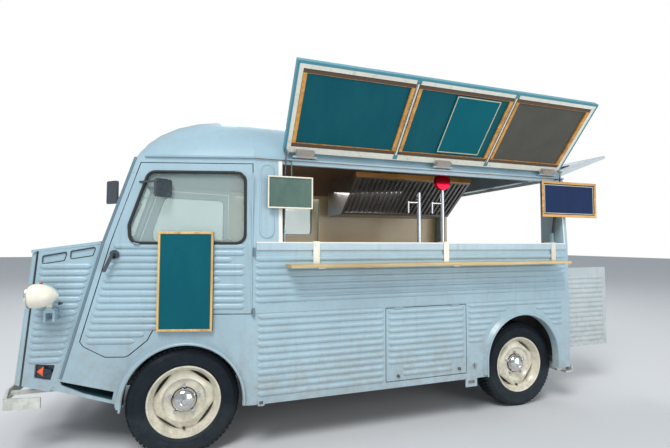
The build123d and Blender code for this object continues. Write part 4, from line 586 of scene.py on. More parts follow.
nose_rubber = [slab(seam_place, seam_depths, nose_seam_ends, (-seam_half, seam_half))]
for start, end in vent_ends:
    start_z = vent_front_z + vent_slope * (start - vent_ends[0][0])
    end_z = start_z + vent_slope * (end - start)
    foot_z = end_z - vent_height - vent_growth
    corners = [(start, start_z), (end, end_z), (end - vent_lean, foot_z), (start, start_z - vent_height)]
    outline = [nose_place(x, z) for x, z in rounded_path(corners, 8, 5)]
    nose_rubber.append(closed_bead(outline, vent_bead, 6))
piece("nose_seams", both(joined(nose_rubber)), seal_rubber, "body")

# Indicators: an orange drop-shaped lens with a dark tail, moulded in one and lying in its painted
# recess in the nose side.
lens_rear_x, lens_inner = -806, 0.634
indicator_plastic = weathered(
    "indicator_plastic", (0.006, 0.018, 0.032), rough=0.2, coat=0.6, wear=0.1, dust_top=0.3
)


def lens_part(tree):
    """1 on the drop's front half, outside the mounting plate."""
    outside = worked(tree, "GREATER_THAN", worked(tree, "ABSOLUTE", off_centre(tree)), lens_inner)
    return worked(tree, "MULTIPLY", short_of("X", row_x(lens_rear_x))(tree), outside)


over_part(indicator_plastic, (0.85, 0.12, 0.02), lens_part)
dress(indicator_plastic, "indicators")

# Bumpers: folded steel blades at the front and corner stubs at the rear, bolted to the chassis and
# painted off-white, with road dirt along their lower edges.
bumper_paint = weathered("bumper_paint", (0.66, 0.68, 0.62), rough=0.42, wear=0.9, dust_top=0.6)
dress(bumper_paint, "bumpers")

# Wheels: pressed steel rims in cream with a dished disc. Four flats on the disc's edge leave
# slivers against the well; five nuts hold it on the drum, under a chromed dome.
wheel_stations = [
    ("front_left", 0, -811, "wheel_front_left"),
    ("front_right", 0, 811, "wheel_front_right"),
    ("rear_left", 2530, -820, "wheel_rear_left"),
    ("rear_right", 2530, 820, "wheel_rear_right"),
]
axle_height = 328
rim_section = [
    (218, 73), (217, 78), (212, 80), (207, 76), (204, 64), (198, 54), (188, 48), (184, 36), (183, -52),
    (204, -62), (213, -66), (218, -72), (214, -76), (204, -70), (178, -56), (177, 34), (182, 44),
    (192, 58), (199, 70), (205, 82), (213, 84), (219, 80),
]
disc_edge, disc_flat, disc_turn = 181, 158, 0.14
disc_section = [(0.0, 30), (0.12, 37), (0.4, 45), (1.0, 52)]
disc_inner = [(130, 52), (125, 44), (120, 37), (104, 34), (72, 33), (66, 30), (60, 26), (120, 24), (150, 30)]
nut_ring, nut_radius, nut_count = 85, 12, 5
nut_section = [(nut_radius, 35), (nut_radius, 45), (nut_radius * 0.8, 48), (5, 48), (5, 54), (0, 55)]
washer_section = [(16, 33), (15.5, 36), (nut_radius - 2, 36.5)]
dome_section = [
    (70, 32), (71, 42), (67, 55), (57, 67), (42, 76), (26, 80), (22, 78), (17, 79), (14, 83), (0, 84.5)
]
dome_collar = [(69, 30), (74.5, 33), (75.5, 36.5), (73, 38), (69, 37)]
valve_section, valve_ring = [(8, 40), (8, 53), (6.5, 54.5), (4, 54.5), (4, 62), (0, 63)], 168
drum_section = [(60, -40), (168, -40), (170, -8), (164, 4), (120, 14), (60, 16)]


def disc_shape(centre, side, steps=96):
    """The dished disc: its edge follows the rim but for four flats."""
    x, y, z = centre
    vertices = []
    for step in range(steps):
        turn = 2 * math.pi * step / steps
        from_flat = (turn - disc_turn) % (math.pi / 2) - math.pi / 4
        edge = min(disc_edge, disc_flat / math.cos(from_flat))
        ring = [(edge + (disc_inner[0][0] - edge) * share, out) for share, out in disc_section]
        for radius, out in ring + disc_inner[1:]:
            vertices.append(at(x + radius * math.cos(turn), y + side * out, z + radius * math.sin(turn)))
    return vertices, ring_faces(len(disc_section) + len(disc_inner) - 1, steps)


def nut_shapes(centre, side):
    """Hexagon nuts with chamfered crowns, each on its washer."""
    x, y, z = centre
    shapes = []
    for nut in range(nut_count):
        around = math.pi / 2 + 2 * math.pi * nut / nut_count
        spot = (x + nut_ring * math.cos(around), y, z + nut_ring * math.sin(around))
        shapes.append(turned(nut_section, spot, "Y", 6, False, side))
        shapes.append(turned(washer_section, spot, "Y", 24, False, side))
    return shapes


drum_iron = weathered(
    "drum_iron", (0.05, 0.05, 0.05), dust=(0.12, 0.09, 0.07), rough=0.7, metal=0.5, wear=0.8
)
for name, wheel_x, wheel_y, wheel_body in wheel_stations:
    side = 1 if wheel_y > 0 else -1
    middle = (wheel_x, wheel_y, axle_height)
    pressing = joined([turned(rim_section, middle, "Y", 96, True, side), disc_shape(middle, side)])
    wheel_disc = piece(f"wheel_disc_{name}", pressing, cream_paint, wheel_body)
    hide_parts(f"rim_{name}")
    bright = joined([turned(dome_section, middle, "Y", 64, False, side), *nut_shapes(middle, side)])
    piece(f"hub_dome_{name}", bright, chrome, wheel_body, weld=True)
    black = [
        turned(drum_section, middle, "Y", 48, True, side),
        turned(dome_collar, middle, "Y", 64, True, side),
        turned(valve_section, (wheel_x, wheel_y, axle_height - valve_ring), "Y", 20, False, side),
    ]
    piece(f"brake_drum_{name}", joined(black), drum_iron, wheel_body)

# Tyres: tall cross-ply rubber with raised rings on the wall, a ribbed shoulder and five rows of
# tread blocks. The carcass is turned, and the blocks are laid round it at one pitch.
tyre_section = [
    (204, 60), (208, 74), (218, 85), (228, 90), (231, 92.3), (235, 92.3), (237, 90.5), (252, 92),
    (270, 92.4), (284, 90.8), (286, 92.3), (291, 92), (293, 89.5), (303, 85), (311, 78), (314, 79),
    (317, 75), (319, 66), (320, 60),
]
# columns: distance off the tyre's middle, and lag as a share of the blocks' pitch
tread_rows = [(-58, 0.0), (-30, 0.5), (0, 0.0), (30, 0.5), (58, 0.0)]
tread = {"count": 68, "radius": 324.2, "block": (7.5, 24, 21)}
tyre_rubber = weathered(
    "tyre_rubber", (0.004, 0.009, 0.015), dust=(0.03, 0.04, 0.045), rough=0.72, wear=0.3, dust_top=0.3
)
tyre_rubber.node_tree.nodes["Principled BSDF"].inputs["Specular IOR Level"].default_value = 0.3
tread_tree, tread_in, tread_out = node_tree(
    "tread_blocks", ("Radius", "Float", 0.3), ("Count", "Int", 8), ("Block", "Vector", None)
)
hoop = added(tread_tree, "GeometryNodeCurvePrimitiveCircle", Resolution=128, Radius=tread_in["Radius"])
spots = added(tread_tree, "GeometryNodeCurveToPoints", Curve=hoop.outputs["Curve"], Count=tread_in["Count"])
block = added(tread_tree, "GeometryNodeMeshCube", Size=tread_in["Block"])
laid_blocks = added(
    tread_tree, "GeometryNodeInstanceOnPoints",
    Points=spots.outputs["Points"], Rotation=spots.outputs["Rotation"], Instance=block.outputs["Mesh"],
)
gather = added(tread_tree, "GeometryNodeJoinGeometry")
for across, lag in tread_rows:
    shift = added(
        tread_tree, "GeometryNodeTransform", Geometry=laid_blocks.outputs["Instances"],
        Translation=(0, 0, across / 1000), Rotation=(0, 0, lag * 2 * math.pi / tread["count"]),
    )
    given(tread_tree, gather, Geometry=shift.outputs["Geometry"])
stood_up = added(
    tread_tree, "GeometryNodeTransform", Geometry=gather.outputs["Geometry"], Rotation=(math.pi / 2, 0, 0)
)
sent_out(tread_tree, tread_in, tread_out, stood_up.outputs["Geometry"])
tread_values = {
    "Radius": tread["radius"] / 1000,
    "Count": tread["count"],
    "Block": tuple(size / 1000 for size in tread["block"]),
}
for name, wheel_x, wheel_y, wheel_body in wheel_stations:
    middle = (wheel_x, wheel_y, axle_height)
    carcass = turned(tyre_section + [(r, -out) for r, out in reversed(tyre_section)], middle, "Y", 128)
    tyre = piece(f"tyre_wall_{name}", carcass, tyre_rubber, wheel_body, smooth_degrees=28)
    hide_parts(f"tyre_{name}")
    blocks = grown(tread_tree, tread_values, tyre_rubber)
    blocks.transform(Matrix.Translation(at(*middle)))
    fixed_mesh(f"tread_{name}", blocks, wheel_body)

# Pressed ribs: every panel is stiffened by rows of shallow half-round beads whose ends run out to
# a point. They are drawn over the frame's ribs, one bead for each, and painted with the panel.
rib_table = {"top_width": 8, "width_within": 0.6, "run_out": 9.5, "shortest": 30}
rib_bead = (16.5, 8.3)
flat_cosine, flat_height = 0.9999, 1e-4
# columns: distance from the frame rib's end, share of the full bead
rib_end = [(-12, 0.03), (-10.5, 0.24), (-8, 0.42), (-5, 0.58), (-1, 0.72), (4, 0.86), (8, 0.96), (13, 1.0)]
ribbed_panels = [
    ("side_left", "body"), ("side_right", "body"), ("nose_sides", "body"), ("cab_door_left", "door_left"),
    ("cab_door_right", "door_right"), ("locker_flap_left", "locker"), ("sliding_door_right", "slider"),
    ("rear_door_left", "leaf_left"), ("rear_door_right", "leaf_right"), ("tailgate", "tail"),
]
bead_tree, bead_in, bead_out = node_tree(
    "rib_beads", ("Lines", "Geometry", None), ("Half Width", "Float", 0.016), ("Height", "Float", 0.008)
)
outward = added(bead_tree, "GeometryNodeInputNamedAttribute", Name="outward")
outward.data_type = "FLOAT_VECTOR"
swell = added(bead_tree, "GeometryNodeInputNamedAttribute", Name="swell")
curves = added(bead_tree, "GeometryNodeMeshToCurve", Mesh=bead_in["Lines"])
aim = added(bead_tree, "GeometryNodeSetCurveNormal", Curve=curves.outputs["Curve"])
aim.mode = "FREE"
given(bead_tree, aim, Normal=outward.outputs["Attribute"])
half_round = added(
    bead_tree, "GeometryNodeCurveArc", Resolution=11, Start_Angle=-math.pi / 2, Sweep_Angle=math.pi
)
bead_size = added(bead_tree, "ShaderNodeCombineXYZ", X=bead_in["Height"], Y=bead_in["Half Width"])
flattened = added(
    bead_tree, "GeometryNodeTransform",
    Geometry=half_round.outputs["Curve"], Scale=bead_size.outputs["Vector"],
)
sweep = added(
    bead_tree, "GeometryNodeCurveToMesh",
    Curve=aim.outputs["Curve"], Profile_Curve=flattened.outputs["Geometry"], Scale=swell.outputs["Attribute"],
)
sent_out(bead_tree, bead_in, bead_out, sweep.outputs["Mesh"])


def flat_patch(first, seen):
    """The faces that lie in one plane with a first one, each noted in seen."""
    patch, waiting = [], [first]
    seen.add(first.index)
    while waiting:
        face = waiting.pop()
        patch.append(face)
        for edge in face.edges:
            for other in edge.link_faces:
                if other.index not in seen and other.normal.dot(first.normal) > flat_cosine:
                    seen.add(other.index)
                    waiting.append(other)
    return patch


def rib_crowns(node):
    """The flat crown of every rib on a CAD panel: its middle, its axis, its half length and normal."""
    form = bmesh.new()
    form.from_mesh(node.data)
    bmesh.ops.remove_doubles(form, verts=form.verts, dist=1e-5)
    seen, crowns = set(), []
    for first in form.faces:
        if first.index in seen or first.calc_area() == 0:
            continue
        patch = flat_patch(first, seen)
        spots = [node.matrix_world @ vertex.co for face in patch for vertex in face.verts]
        normal = (node.matrix_world.to_3x3() @ first.normal).normalized()
        far = max(spots, key=lambda spot: (spot - spots[0]).length)
        near = max(spots, key=lambda spot: (spot - far).length)
        upright = Vector((0, 0, 1)) if abs(normal.z) < 0.5 else Vector((1, 0, 0))
        axis = upright.cross(normal).normalized()
        width_axis = normal.cross(axis)
        reach = [spot.dot(axis) for spot in spots]
        widths = [spot.dot(width_axis) for spot in spots]
        length, width = (max(run) - min(run) for run in (reach, widths))
        crown_wide = abs(width * 1000 - rib_table["top_width"]) < rib_table["width_within"]
        long_enough = length > rib_table["shortest"] / 1000
        if crown_wide and long_enough and abs(normal.dot(far - near)) < flat_height:
            middle = spots[0] + axis * ((max(reach) + min(reach)) / 2 - spots[0].dot(axis))
            middle += width_axis * ((max(widths) + min(widths)) / 2 - spots[0].dot(width_axis))
            crowns.append((middle, axis, length / 2, normal))
    form.free()
    return crowns


def line_mesh(points, edges, facings, fullness):
    """A mesh of lines for the bead tree, with where each point faces and how full the bead is."""
    mesh = bpy.data.meshes.new("bead_lines")
    mesh.from_pydata([tuple(point) for point in points], edges, [])
    outwards = mesh.attributes.new("outward", "FLOAT_VECTOR", "POINT")
    outwards.data.foreach_set("vector", [part for normal in facings for part in normal])
    swelling = mesh.attributes.new("swell", "FLOAT", "POINT")
    swelling.data.foreach_set("value", fullness)
    return mesh


def rib_lines(crowns):
    """A mesh of one line for each rib."""
    points, edges, facings, fullness = [], [], [], []
    for middle, axis, half, normal in crowns:
        full_half = half + rib_table["run_out"] / 1000
        stations = [(full_half - out / 1000, share) for out, share in rib_end]
        stations += [(-reach, share) for reach, share in reversed(stations)]
        for index, (reach, share) in enumerate(stations):
            if index:
                edges.append((len(points) - 1, len(points)))
            points.append(middle - normal * rib_height / 1000 + axis * reach)
            facings.append(normal)
            fullness.append(share)
    return line_mesh(points, edges, facings, fullness)


def bar_values(half_width, height):
    """The bead tree's inputs, from millimetres."""
    return {"Half Width": half_width / 1000, "Height": height / 1000}


for panel, panel_body in ribbed_panels:
    panel_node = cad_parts[panel]
    lines = rib_lines(rib_crowns(panel_node))
    beads = grown(bead_tree, bar_values(*rib_bead), panel_node.data.materials[0], lines)
    fixed_mesh(f"ribs_{panel}", beads, panel_body)

# Trim of the serving opening: a folded steel rail in body colour with a pale worn top, and the
# shelf's hooked brackets in bare aluminium.
sill_paint = weathered("sill_paint", (0.40, 0.53, 0.60), rough=0.34, coat=0.3, wear=0.6)
rail_edge_z = 1.2945


def edged(made, width):
    """Rounds the edges of an object, in millimetres, as folded sheet and sanded wood have them."""
    bend = made.modifiers.new("edge", "BEVEL")
    bend.width = width / 1000
    bend.segments = 2
    bend.limit_method = "ANGLE"
    bend.harden_normals = True


def softened(width, *names):
    """Rounds the edges of CAD nodes."""
    for name in names:
        edged(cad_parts[name], width)


over_part(sill_paint, (0.80, 0.79, 0.74), past("Z", rail_edge_z))
dress(sill_paint, "serving_sill")
bracket_metal = weathered(
    "bracket_metal", (0.70, 0.66, 0.58), dust=(0.34, 0.31, 0.26), rough=0.35, metal=0.35, wear=0.7
)
dress(bracket_metal, "shelf_brackets")
softened(2, "serving_sill", "shelf_brackets")

# Wheel arches and pillars: a rolled lip along each arch in body colour, and a bar down each of the
# cab's leaning front pillars, painted dark as painted shade along the cab shell's edge. All are bent bar,
# welded on and painted.
# bars: half width and height
arch_lip, pillar_edge_bar = (7, 6.5), (9, 6)
arch_foot, arch_steps, shade_line_back = 300, 32, 6
# columns: name, x and z of the arch's centre, its radius, half width of the body and its taper
arch_table = [("front", -5, 330, 354, 993, 9), ("rear", 2485, 404, 344, 1011, 0)]
pillar_knees = [(-716, 470), (screen_foot_x, screen_foot_z), (-325, 1835)]


def bent_bar(points, facing_out, bar, material):
    """A half-round bar bent through points, its round side facing one way."""
    edges = [(index, index + 1) for index in range(len(points) - 1)]
    line = line_mesh(points, edges, [facing_out] * len(points), [1.0] * len(points))
    return grown(bead_tree, bar_values(*bar), material, line)


def arch_points(centre_x, centre_z, radius, half, taper):
    """Places along a left wheel arch's lip, whose plane narrows forwards by a taper in degrees."""
    spots = [(centre_x + radius, arch_foot)]
    for step in range(arch_steps + 1):
        turn = math.pi * step / arch_steps
        spots.append((centre_x + radius * math.cos(turn), centre_z + radius * math.sin(turn)))
    spots.append((centre_x - radius, arch_foot))
    return [at(x, -(half - (cab_rear_x - x) * math.tan(math.radians(taper))), z) for x, z in spots]


# Painted shade: the pillar bars' dark blue-grey stands for the shade along the cab shell's edge. The door
# hinges share this paint.
pillar_shade_and_hinge_paint = weathered("pillar_shade_and_hinge_paint", (0.13, 0.20, 0.245), rough=0.35, coat=0.3)
pillar_edge = [cab_side(x + shade_line_back, z) for x, z in pillar_knees]
for side_name, side in (("left", -1), ("right", 1)):
    for arch_name, *arch in arch_table:
        lip = arch_points(*arch) if side < 0 else other_side(arch_points(*arch))
        rolled = bent_bar(lip, Vector((0, side, 0)), arch_lip, body_paint)
        fixed_mesh(f"arch_lip_{arch_name}_{side_name}", rolled, "body")
    edge = pillar_edge if side < 0 else other_side(pillar_edge)
    cab_out = Vector((-math.sin(cab_taper), side * math.cos(cab_taper), 0))
    bar = bent_bar(edge, cab_out, pillar_edge_bar, pillar_shade_and_hinge_paint)
    fixed_mesh(f"pillar_shade_line_{side_name}", bar, "body")

# Serving hatch: a folded steel tray in off-white with a blue skin, hinged along the eaves. Its
# bays are lined with slate-painted boards in orange pine frames.
hinge_y, hinge_z = -975, 1862
hatch_open = math.radians(50)
hatch_posts = (1392, 2178)
skin_from, block_top, overlay_top = 0.0725, 0.033, 0.0495
skin_fold = {"reach": 0.588, "front": 601, "rear": 2912}
frame_rails = (0.080, 0.5375)
# blocks on the hatch: their runs along it, out from the hinge line and up off its inner side
overlay_runs, overlay_width = ((1712, 2069), (102, 523), (39.5, 43.2)), 7
gasket = {"off_post": 9.5, "half": 2, "out": (50, 570), "up": (34.5, 37.5)}
post_plate = {"half": 17, "starts": (20, 566), "length": 30, "up": (34.6, 37.2)}


def hatch_place(x, reach, up):
    """A place on the raised hatch: along it, out from its hinge line, and up off its inner side."""
    return at(
        x,
        hinge_y - reach * math.cos(hatch_open) + up * math.sin(hatch_open),
        hinge_z + reach * math.sin(hatch_open) + up * math.cos(hatch_open),
    )


def from_hinge(tree, across_share, above_share):
    """A distance from the hatch's hinge line, by its shares across and above, in metres."""
    hinge = at(0, hinge_y, hinge_z)
    across = worked(tree, "SUBTRACT", place_part(tree, "Y"), hinge.y)
    above = worked(tree, "SUBTRACT", place_part(tree, "Z"), hinge.z)
    parts = [worked(tree, "MULTIPLY", *pair) for pair in ((across, across_share), (above, above_share))]
    return worked(tree, "ADD", *parts)


def off_hinge(tree):
    """Height off the hatch's hinge plane."""
    return from_hinge(tree, math.sin(hatch_open), math.cos(hatch_open))


def hatch_reach(tree):
    """Distance out from the hatch's hinge line."""
    return from_hinge(tree, -math.cos(hatch_open), math.sin(hatch_open))


def outer_skin(tree):
    """1 on the hatch's outer skin and where it is folded round the free edges."""
    skin = worked(tree, "GREATER_THAN", off_hinge(tree), skin_from)
    edge = worked(tree, "GREATER_THAN", hatch_reach(tree), skin_fold["reach"])
    front = short_of("X", row_x(skin_fold["front"]))(tree)
    rear = past("X", row_x(skin_fold["rear"]))(tree)
    folds = worked(tree, "MAXIMUM", worked(tree, "MAXIMUM", front, rear), edge)
    return worked(tree, "MAXIMUM", skin, folds)


def hinge_blocks(tree):
    """1 on the hinge blocks, which stand proud of the hatch's inner side."""
    return worked(tree, "LESS_THAN", off_hinge(tree), block_top)


hatch_paint = weathered(
    "hatch_paint", (0.84, 0.83, 0.72), dust=(0.42, 0.38, 0.3), rough=0.36, coat=0.3, wear=0.8
)
over_part(hatch_paint, (0.06, 0.27, 0.34), outer_skin)
over_part(hatch_paint, (0.36, 0.33, 0.30), hinge_blocks, 0.2)
dress(hatch_paint, "serving_hatch")
softened(3, "serving_hatch")


def framed(place, first, second, third, width):
    """Four strips round a field, as a frame has."""
    (low_a, high_a), (low_b, high_b) = first, second
    between = (low_b + width, high_b - width)
    # columns: each strip's run along the first measure and along the second
    runs = [
        (first, (low_b, low_b + width)), (first, (high_b - width, high_b)),
        ((low_a, low_a + width), between), ((high_a - width, high_a), between),
    ]
    return joined([slab(place, run_a, run_b, third) for run_a, run_b in runs])


def grained(name, colour, dark, along, rough=0.5):
    """Varnished wood with its grain drawn out along one axis."""
    material, tree, shader = new_material(name)
    stretch = tuple(0.06 if axis == along else 1.0 for axis in "XYZ")
    grain = cloud(tree, 22, 9, stretch, rough=0.75)
    tone = blended(tree, dark, colour, ranged(tree, grain, 0.36, 0.62))
    stains = ranged(tree, cloud(tree, 9, 6), 0.62, 0.8, 0.0, 0.55)
    ridge = added(tree, "ShaderNodeBump", Strength=0.25, Distance=0.0015, Height=grain)
    given(
        tree, shader, Base_Color=blended(tree, tone, shade(dark, 0.45), stains), Coat_Weight=0.2,
        Roughness=ranged(tree, grain, 0.3, 0.7, rough * 0.7, rough * 1.3), Normal=ridge.outputs["Normal"],
    )
    return material


orange_pine = grained("orange_pine", (0.80, 0.46, 0.13), (0.42, 0.17, 0.05), "X")
frame_pine = grained("frame_pine", (0.86, 0.44, 0.09), (0.46, 0.17, 0.035), "Y")


def dark_rails(tree):
    """1 on the frames' upper and lower rails, which are stained dark."""
    reach = hatch_reach(tree)
    low, high = frame_rails
    return worked(
        tree, "MAXIMUM", worked(tree, "LESS_THAN", reach, low), worked(tree, "GREATER_THAN", reach, high)
    )


over_part(frame_pine, (0.10, 0.055, 0.03), dark_rails, 0.3)
dress(frame_pine, "board_frames")
softened(2, "board_frames")


def slate(name, colour, haze, rough=0.68):
    """Blackboard paint: wiped chalk leaves a pale haze in sweeps."""
    material, tree, shader = new_material(name)
    sweeps = cloud(tree, 5, 7, (1, 0.35, 0.5), rough=0.65)
    tone = blended(tree, colour, haze, ranged(tree, sweeps, 0.42, 0.85, 0.0, 0.55))
    specks = ranged(tree, cloud(tree, 60, 3), 0.6, 0.75, 0.0, 0.5)
    given(
        tree, shader, Base_Color=blended(tree, tone, shade(colour, 0.55), specks),
        Roughness=ranged(tree, sweeps, 0.3, 0.7, rough, rough * 0.7), Specular_IOR_Level=0.15,
    )
    return material


def overlay_part(tree):
    """1 on the small board that hangs in the middle bay."""
    return worked(tree, "LESS_THAN", off_hinge(tree), overlay_top)


board_slate = slate("board_slate", (0.002, 0.098, 0.132), (0.012, 0.15, 0.18))
over_part(board_slate, (0.0, 0.13, 0.17), overlay_part, 0.12)
over_part(board_slate, (0.10, 0.098, 0.085), past("X", row_x(hatch_posts[1])), 0.25)
dress(board_slate, "menu_boards")
chalk_line = weathered("chalk_line", (0.62, 0.60, 0.42), rough=0.7, wear=0.6)
overlay_edge = framed(hatch_place, *overlay_runs, overlay_width)
edged(piece("overlay_edge", overlay_edge, chalk_line, "hatch"), 1)
post_strips, corner_plates = [], []
for post in hatch_posts:
    for middle in (post - gasket["off_post"], post + gasket["off_post"]):
        strip_run = (middle - gasket["half"], middle + gasket["half"])
        post_strips.append(slab(hatch_place, strip_run, gasket["out"], gasket["up"]))
    plate_run = (post - post_plate["half"], post + post_plate["half"])
    for low in post_plate["starts"]:
        plate_ends = (low, low + post_plate["length"])
        corner_plates.append(slab(hatch_place, plate_run, plate_ends, post_plate["up"]))
piece("post_gaskets", joined(post_strips), seal_rubber, "hatch")
skin_paint = weathered("skin_paint", (0.07, 0.27, 0.34), rough=0.4, wear=0.6)
edged(piece("post_plates", joined(corner_plates), skin_paint, "hatch"), 2)

# Gas struts: black-painted steel tubes with polished rods, pinned to lugs on the posts and on the
# hatch. The door handles are of the same worn bright steel as the rods.
strut_black = weathered(
    "strut_black", (0.035, 0.035, 0.037), dust=(0.12, 0.11, 0.1), rough=0.35, coat=0.3, wear=0.4
)
dress(strut_black, "strut_tubes")
handle_steel = weathered(
    "handle_steel", (0.16, 0.18, 0.20), dust=(0.16, 0.15, 0.14), rough=0.25, metal=0.9, wear=0.4
)
dress(handle_steel, "door_fittings_left", "door_fittings_right", "strut_rods")

# Draught taps: polished tube columns standing on the counter; the second carries a round red
# badge, left blank.
tap_metal = weathered(
    "tap_metal", (0.66, 0.67, 0.68), dust=(0.4, 0.38, 0.35), rough=0.16, metal=1.0, wear=0.2
)
badge_low_z = 1.728
over_part(tap_metal, (0.72, 0.012, 0.04), past("Z", badge_low_z))
dress(tap_metal, "tap_column")

# Side signs: hung sheets with a grey-green field in a cream frame at the front, and a blue one in
# an orange frame with a pale inner line at the rear. Both are blank.
sign_skin, between_signs = -1007, 2000
# columns: name, runs along and up, width of the frame and its finish
sign_table = [
    ("front", (475, 771), (1516, 1724), 9, cream_paint),
    ("rear", (2690, 3275), (1515, 1807), 20, orange_pine),
]
sign_depth = (-6.2, 6)
# the pale line's runs along, up and out, and its width
sign_line = ((2718, 3247), (1543, 1779), (-0.2, 0.8), 5)
sign_paint = slate("sign_paint", (0.075, 0.135, 0.115), (0.2, 0.26, 0.21))
over_part(sign_paint, (0.010, 0.026, 0.085), past("X", row_x(between_signs)), 0.2)
dress(sign_paint, "side_signs")


def on_wall(x, z, out):
    """A place on the hung signs' outer face."""
    return at(x, sign_skin - out, z)


for name, across, upright, width, finish in sign_table:
    strips = framed(on_wall, across, upright, sign_depth, width)
    edged(piece(f"sign_frame_{name}", strips, finish, "body"), 1.5)
piece("sign_line_rear", framed(on_wall, *sign_line), chalk_line, "body")

# Board hung on the cab door: a sheet painted in teal slate, set in a thin pine frame and hanging
# flat against the door.
board = {"x": (-164, 160), "z": (752, 1362), "out": (8.3, 29), "frame": 14}
door_slate = slate("door_slate", (0.0, 0.085, 0.115), (0.004, 0.125, 0.155))
dress(door_slate, "door_board")
yellow_pine = grained("yellow_pine", (0.78, 0.52, 0.18), (0.46, 0.24, 0.08), "Z")


def on_door(along, z, out):
    """A place on the cab door's outer plane, by distance along it from the door post."""
    return at(
        cab_rear_x + along * math.cos(cab_taper) - out * math.sin(cab_taper),
        -cab_half_width - along * math.sin(cab_taper) - out * math.cos(cab_taper),
        z,
    )


board_ends = tuple((x - cab_rear_x) / math.cos(cab_taper) for x in board["x"])
board_strips = framed(on_door, board_ends, board["z"], board["out"], board["frame"])
edged(piece("door_board_frame", board_strips, yellow_pine, "door_left"), 2)

# Counter shelf and worktop: waxed planks laid on the brackets outside, and a pale painted counter
# inside.
shelf_wood = grained("shelf_wood", (0.66, 0.50, 0.24), (0.36, 0.24, 0.10), "X", rough=0.6)
dress(shelf_wood, "counter_shelf")
softened(2, "counter_shelf")
counter_white = weathered("counter_white", (0.62, 0.58, 0.50), rough=0.4, wear=0.5)
dress(counter_white, "worktop")

# Extraction hood: brushed stainless steel folded to a wedge, with filter bars on its slope and a
# painted amber reflection along its upper edge.
hood_steel = weathered(
    "hood_steel", (0.34, 0.32, 0.31), dust=(0.16, 0.12, 0.09), rough=0.32, metal=0.9, wear=0.7
)
hood_lip_low, hood_lip_inwards = 1.888, 0.15


def painted_reflection_band(tree):
    """1 on the upright band along the hood's upper edge, where an amber reflection is painted."""
    above = past("Z", hood_lip_low)(tree)
    return worked(tree, "MULTIPLY", above, short_of("Y", centre_y - hood_lip_inwards)(tree))


# Painted reflection: an amber band along the hood's upper edge.
over_part(hood_steel, (0.82, 0.46, 0.16), painted_reflection_band, 0.15)
dress(hood_steel, "extraction_hood")

# Under the van: chassis rails, arms and axles in black paint, floors in grey, and the engine in
# cast iron, all dusty and oily.
chassis_black = weathered(
    "chassis_black", (0.022, 0.022, 0.023), dust=(0.10, 0.09, 0.075), rough=0.6, wear=1.0
)
dress(chassis_black, "chassis_frame", "front_suspension", "knuckle_left", "knuckle_right", "rear_axle")
floor_paint = weathered("floor_paint", (0.17, 0.17, 0.165), dust=(0.12, 0.10, 0.08), rough=0.7, wear=0.8)
dress(floor_paint, "cab_floor", "load_floor")
cast_iron = weathered(
    "cast_iron", (0.12, 0.12, 0.12), dust=(0.08, 0.065, 0.05), rough=0.65, metal=0.4, wear=1.0
)
dress(cast_iron, "engine_block")

# Cab: a dashboard of painted sheet steel under the windscreen, and a thin-rimmed steering wheel
# moulded in black.
dash_paint = weathered("dash_paint", (0.16, 0.19, 0.20), rough=0.5)
dress(dash_paint, "dashboard")
wheel_black = weathered("wheel_black", (0.025, 0.025, 0.026), rough=0.3, coat=0.5, wear=0.3)
dress(wheel_black, "steering_wheel")

# Small fittings of the lower body: jack sockets under the sills, the locker's two locks and its
# latch, and the barrels of the cab doors' hinges. All are steel, plated or painted.
# columns: x and z of the middle, half width and half height of the plate, half size of its hole
socket_table = [(451, 303, 21, 19, 10), (2006, 270, 50, 34, 11)]
lock_places = [(1403, 372), (1903, 376)]
lock_section = [(0, -11), (4, -11), (4, -13), (9, -13), (11, -10), (11, 0)]
plate_out, hole_out, hole_rim = (-2, 7), (-2, 2), 3
latch_x, latch_z = 2042, 389
# columns: half width, reach below and above the latch's middle, and how far the block stands out
latch_blocks = [(19, 9, 9, (0, 4)), (6, 24, 16, (4, 11))]
hinge_heights = (862, 1238)
barrel_x, barrel_y = 397, -993
barrel_section = [(0, -28), (6, -28), (8, -26), (8, -1), (7, 0), (8, 1), (8, 26), (6, 28), (0, 28)]
zinc = weathered("zinc", (0.42, 0.44, 0.45), dust=(0.22, 0.2, 0.17), rough=0.38, metal=0.8, wear=1.0)


def on_side(x, z, out):
    """A place on the left side wall, by how far it stands out."""
    return at(x, -cab_half_width - out, z)


def side_block(x, z, half_x, low, high, outs):
    """A block on the side wall, by its middle, half width and reach below and above."""
    return slab(on_side, (x - half_x, x + half_x), (z - low, z + high), outs)


plates, hole_shades = [], []
for x, z, half_x, half_z, hole in socket_table:
    plate_runs = (x - half_x, x + half_x), (z - half_z, z + half_z)
    plates.append(framed(on_side, *plate_runs, plate_out, min(half_x, half_z) - hole))
    reach = half_z - hole_rim
    hole_shades.append(side_block(x, z, half_x - hole_rim, reach, reach, hole_out))
edged(piece("jack_sockets", both(joined(plates)), body_paint, "body"), 1.5)
# Painted shade: a black block sits in each socket's hole.
piece("jack_hole_shades", both(joined(hole_shades)), knob_black_and_hole_shade, "body")
locks = [turned(lock_section, (x, -cab_half_width, z), "Y", 24, False) for x, z in lock_places]
piece("locker_locks", joined(locks), handle_steel, "locker")
latch = [side_block(latch_x, latch_z, *block) for block in latch_blocks]
edged(piece("locker_latch", joined(latch), zinc, "body"), 1.5)
barrels = [turned(barrel_section, (barrel_x, barrel_y, z), "Z", 20, False) for z in hinge_heights]
piece("door_hinges", both(joined(barrels)), pillar_shade_and_hinge_paint, "body")

# Wipers: a sprung arm and a rubber blade on each pane, pivoted on a turned hub at the foot of the
# windscreen.
wiper_pivot, wiper_tip = (-150, 1328), (-372, 1612)
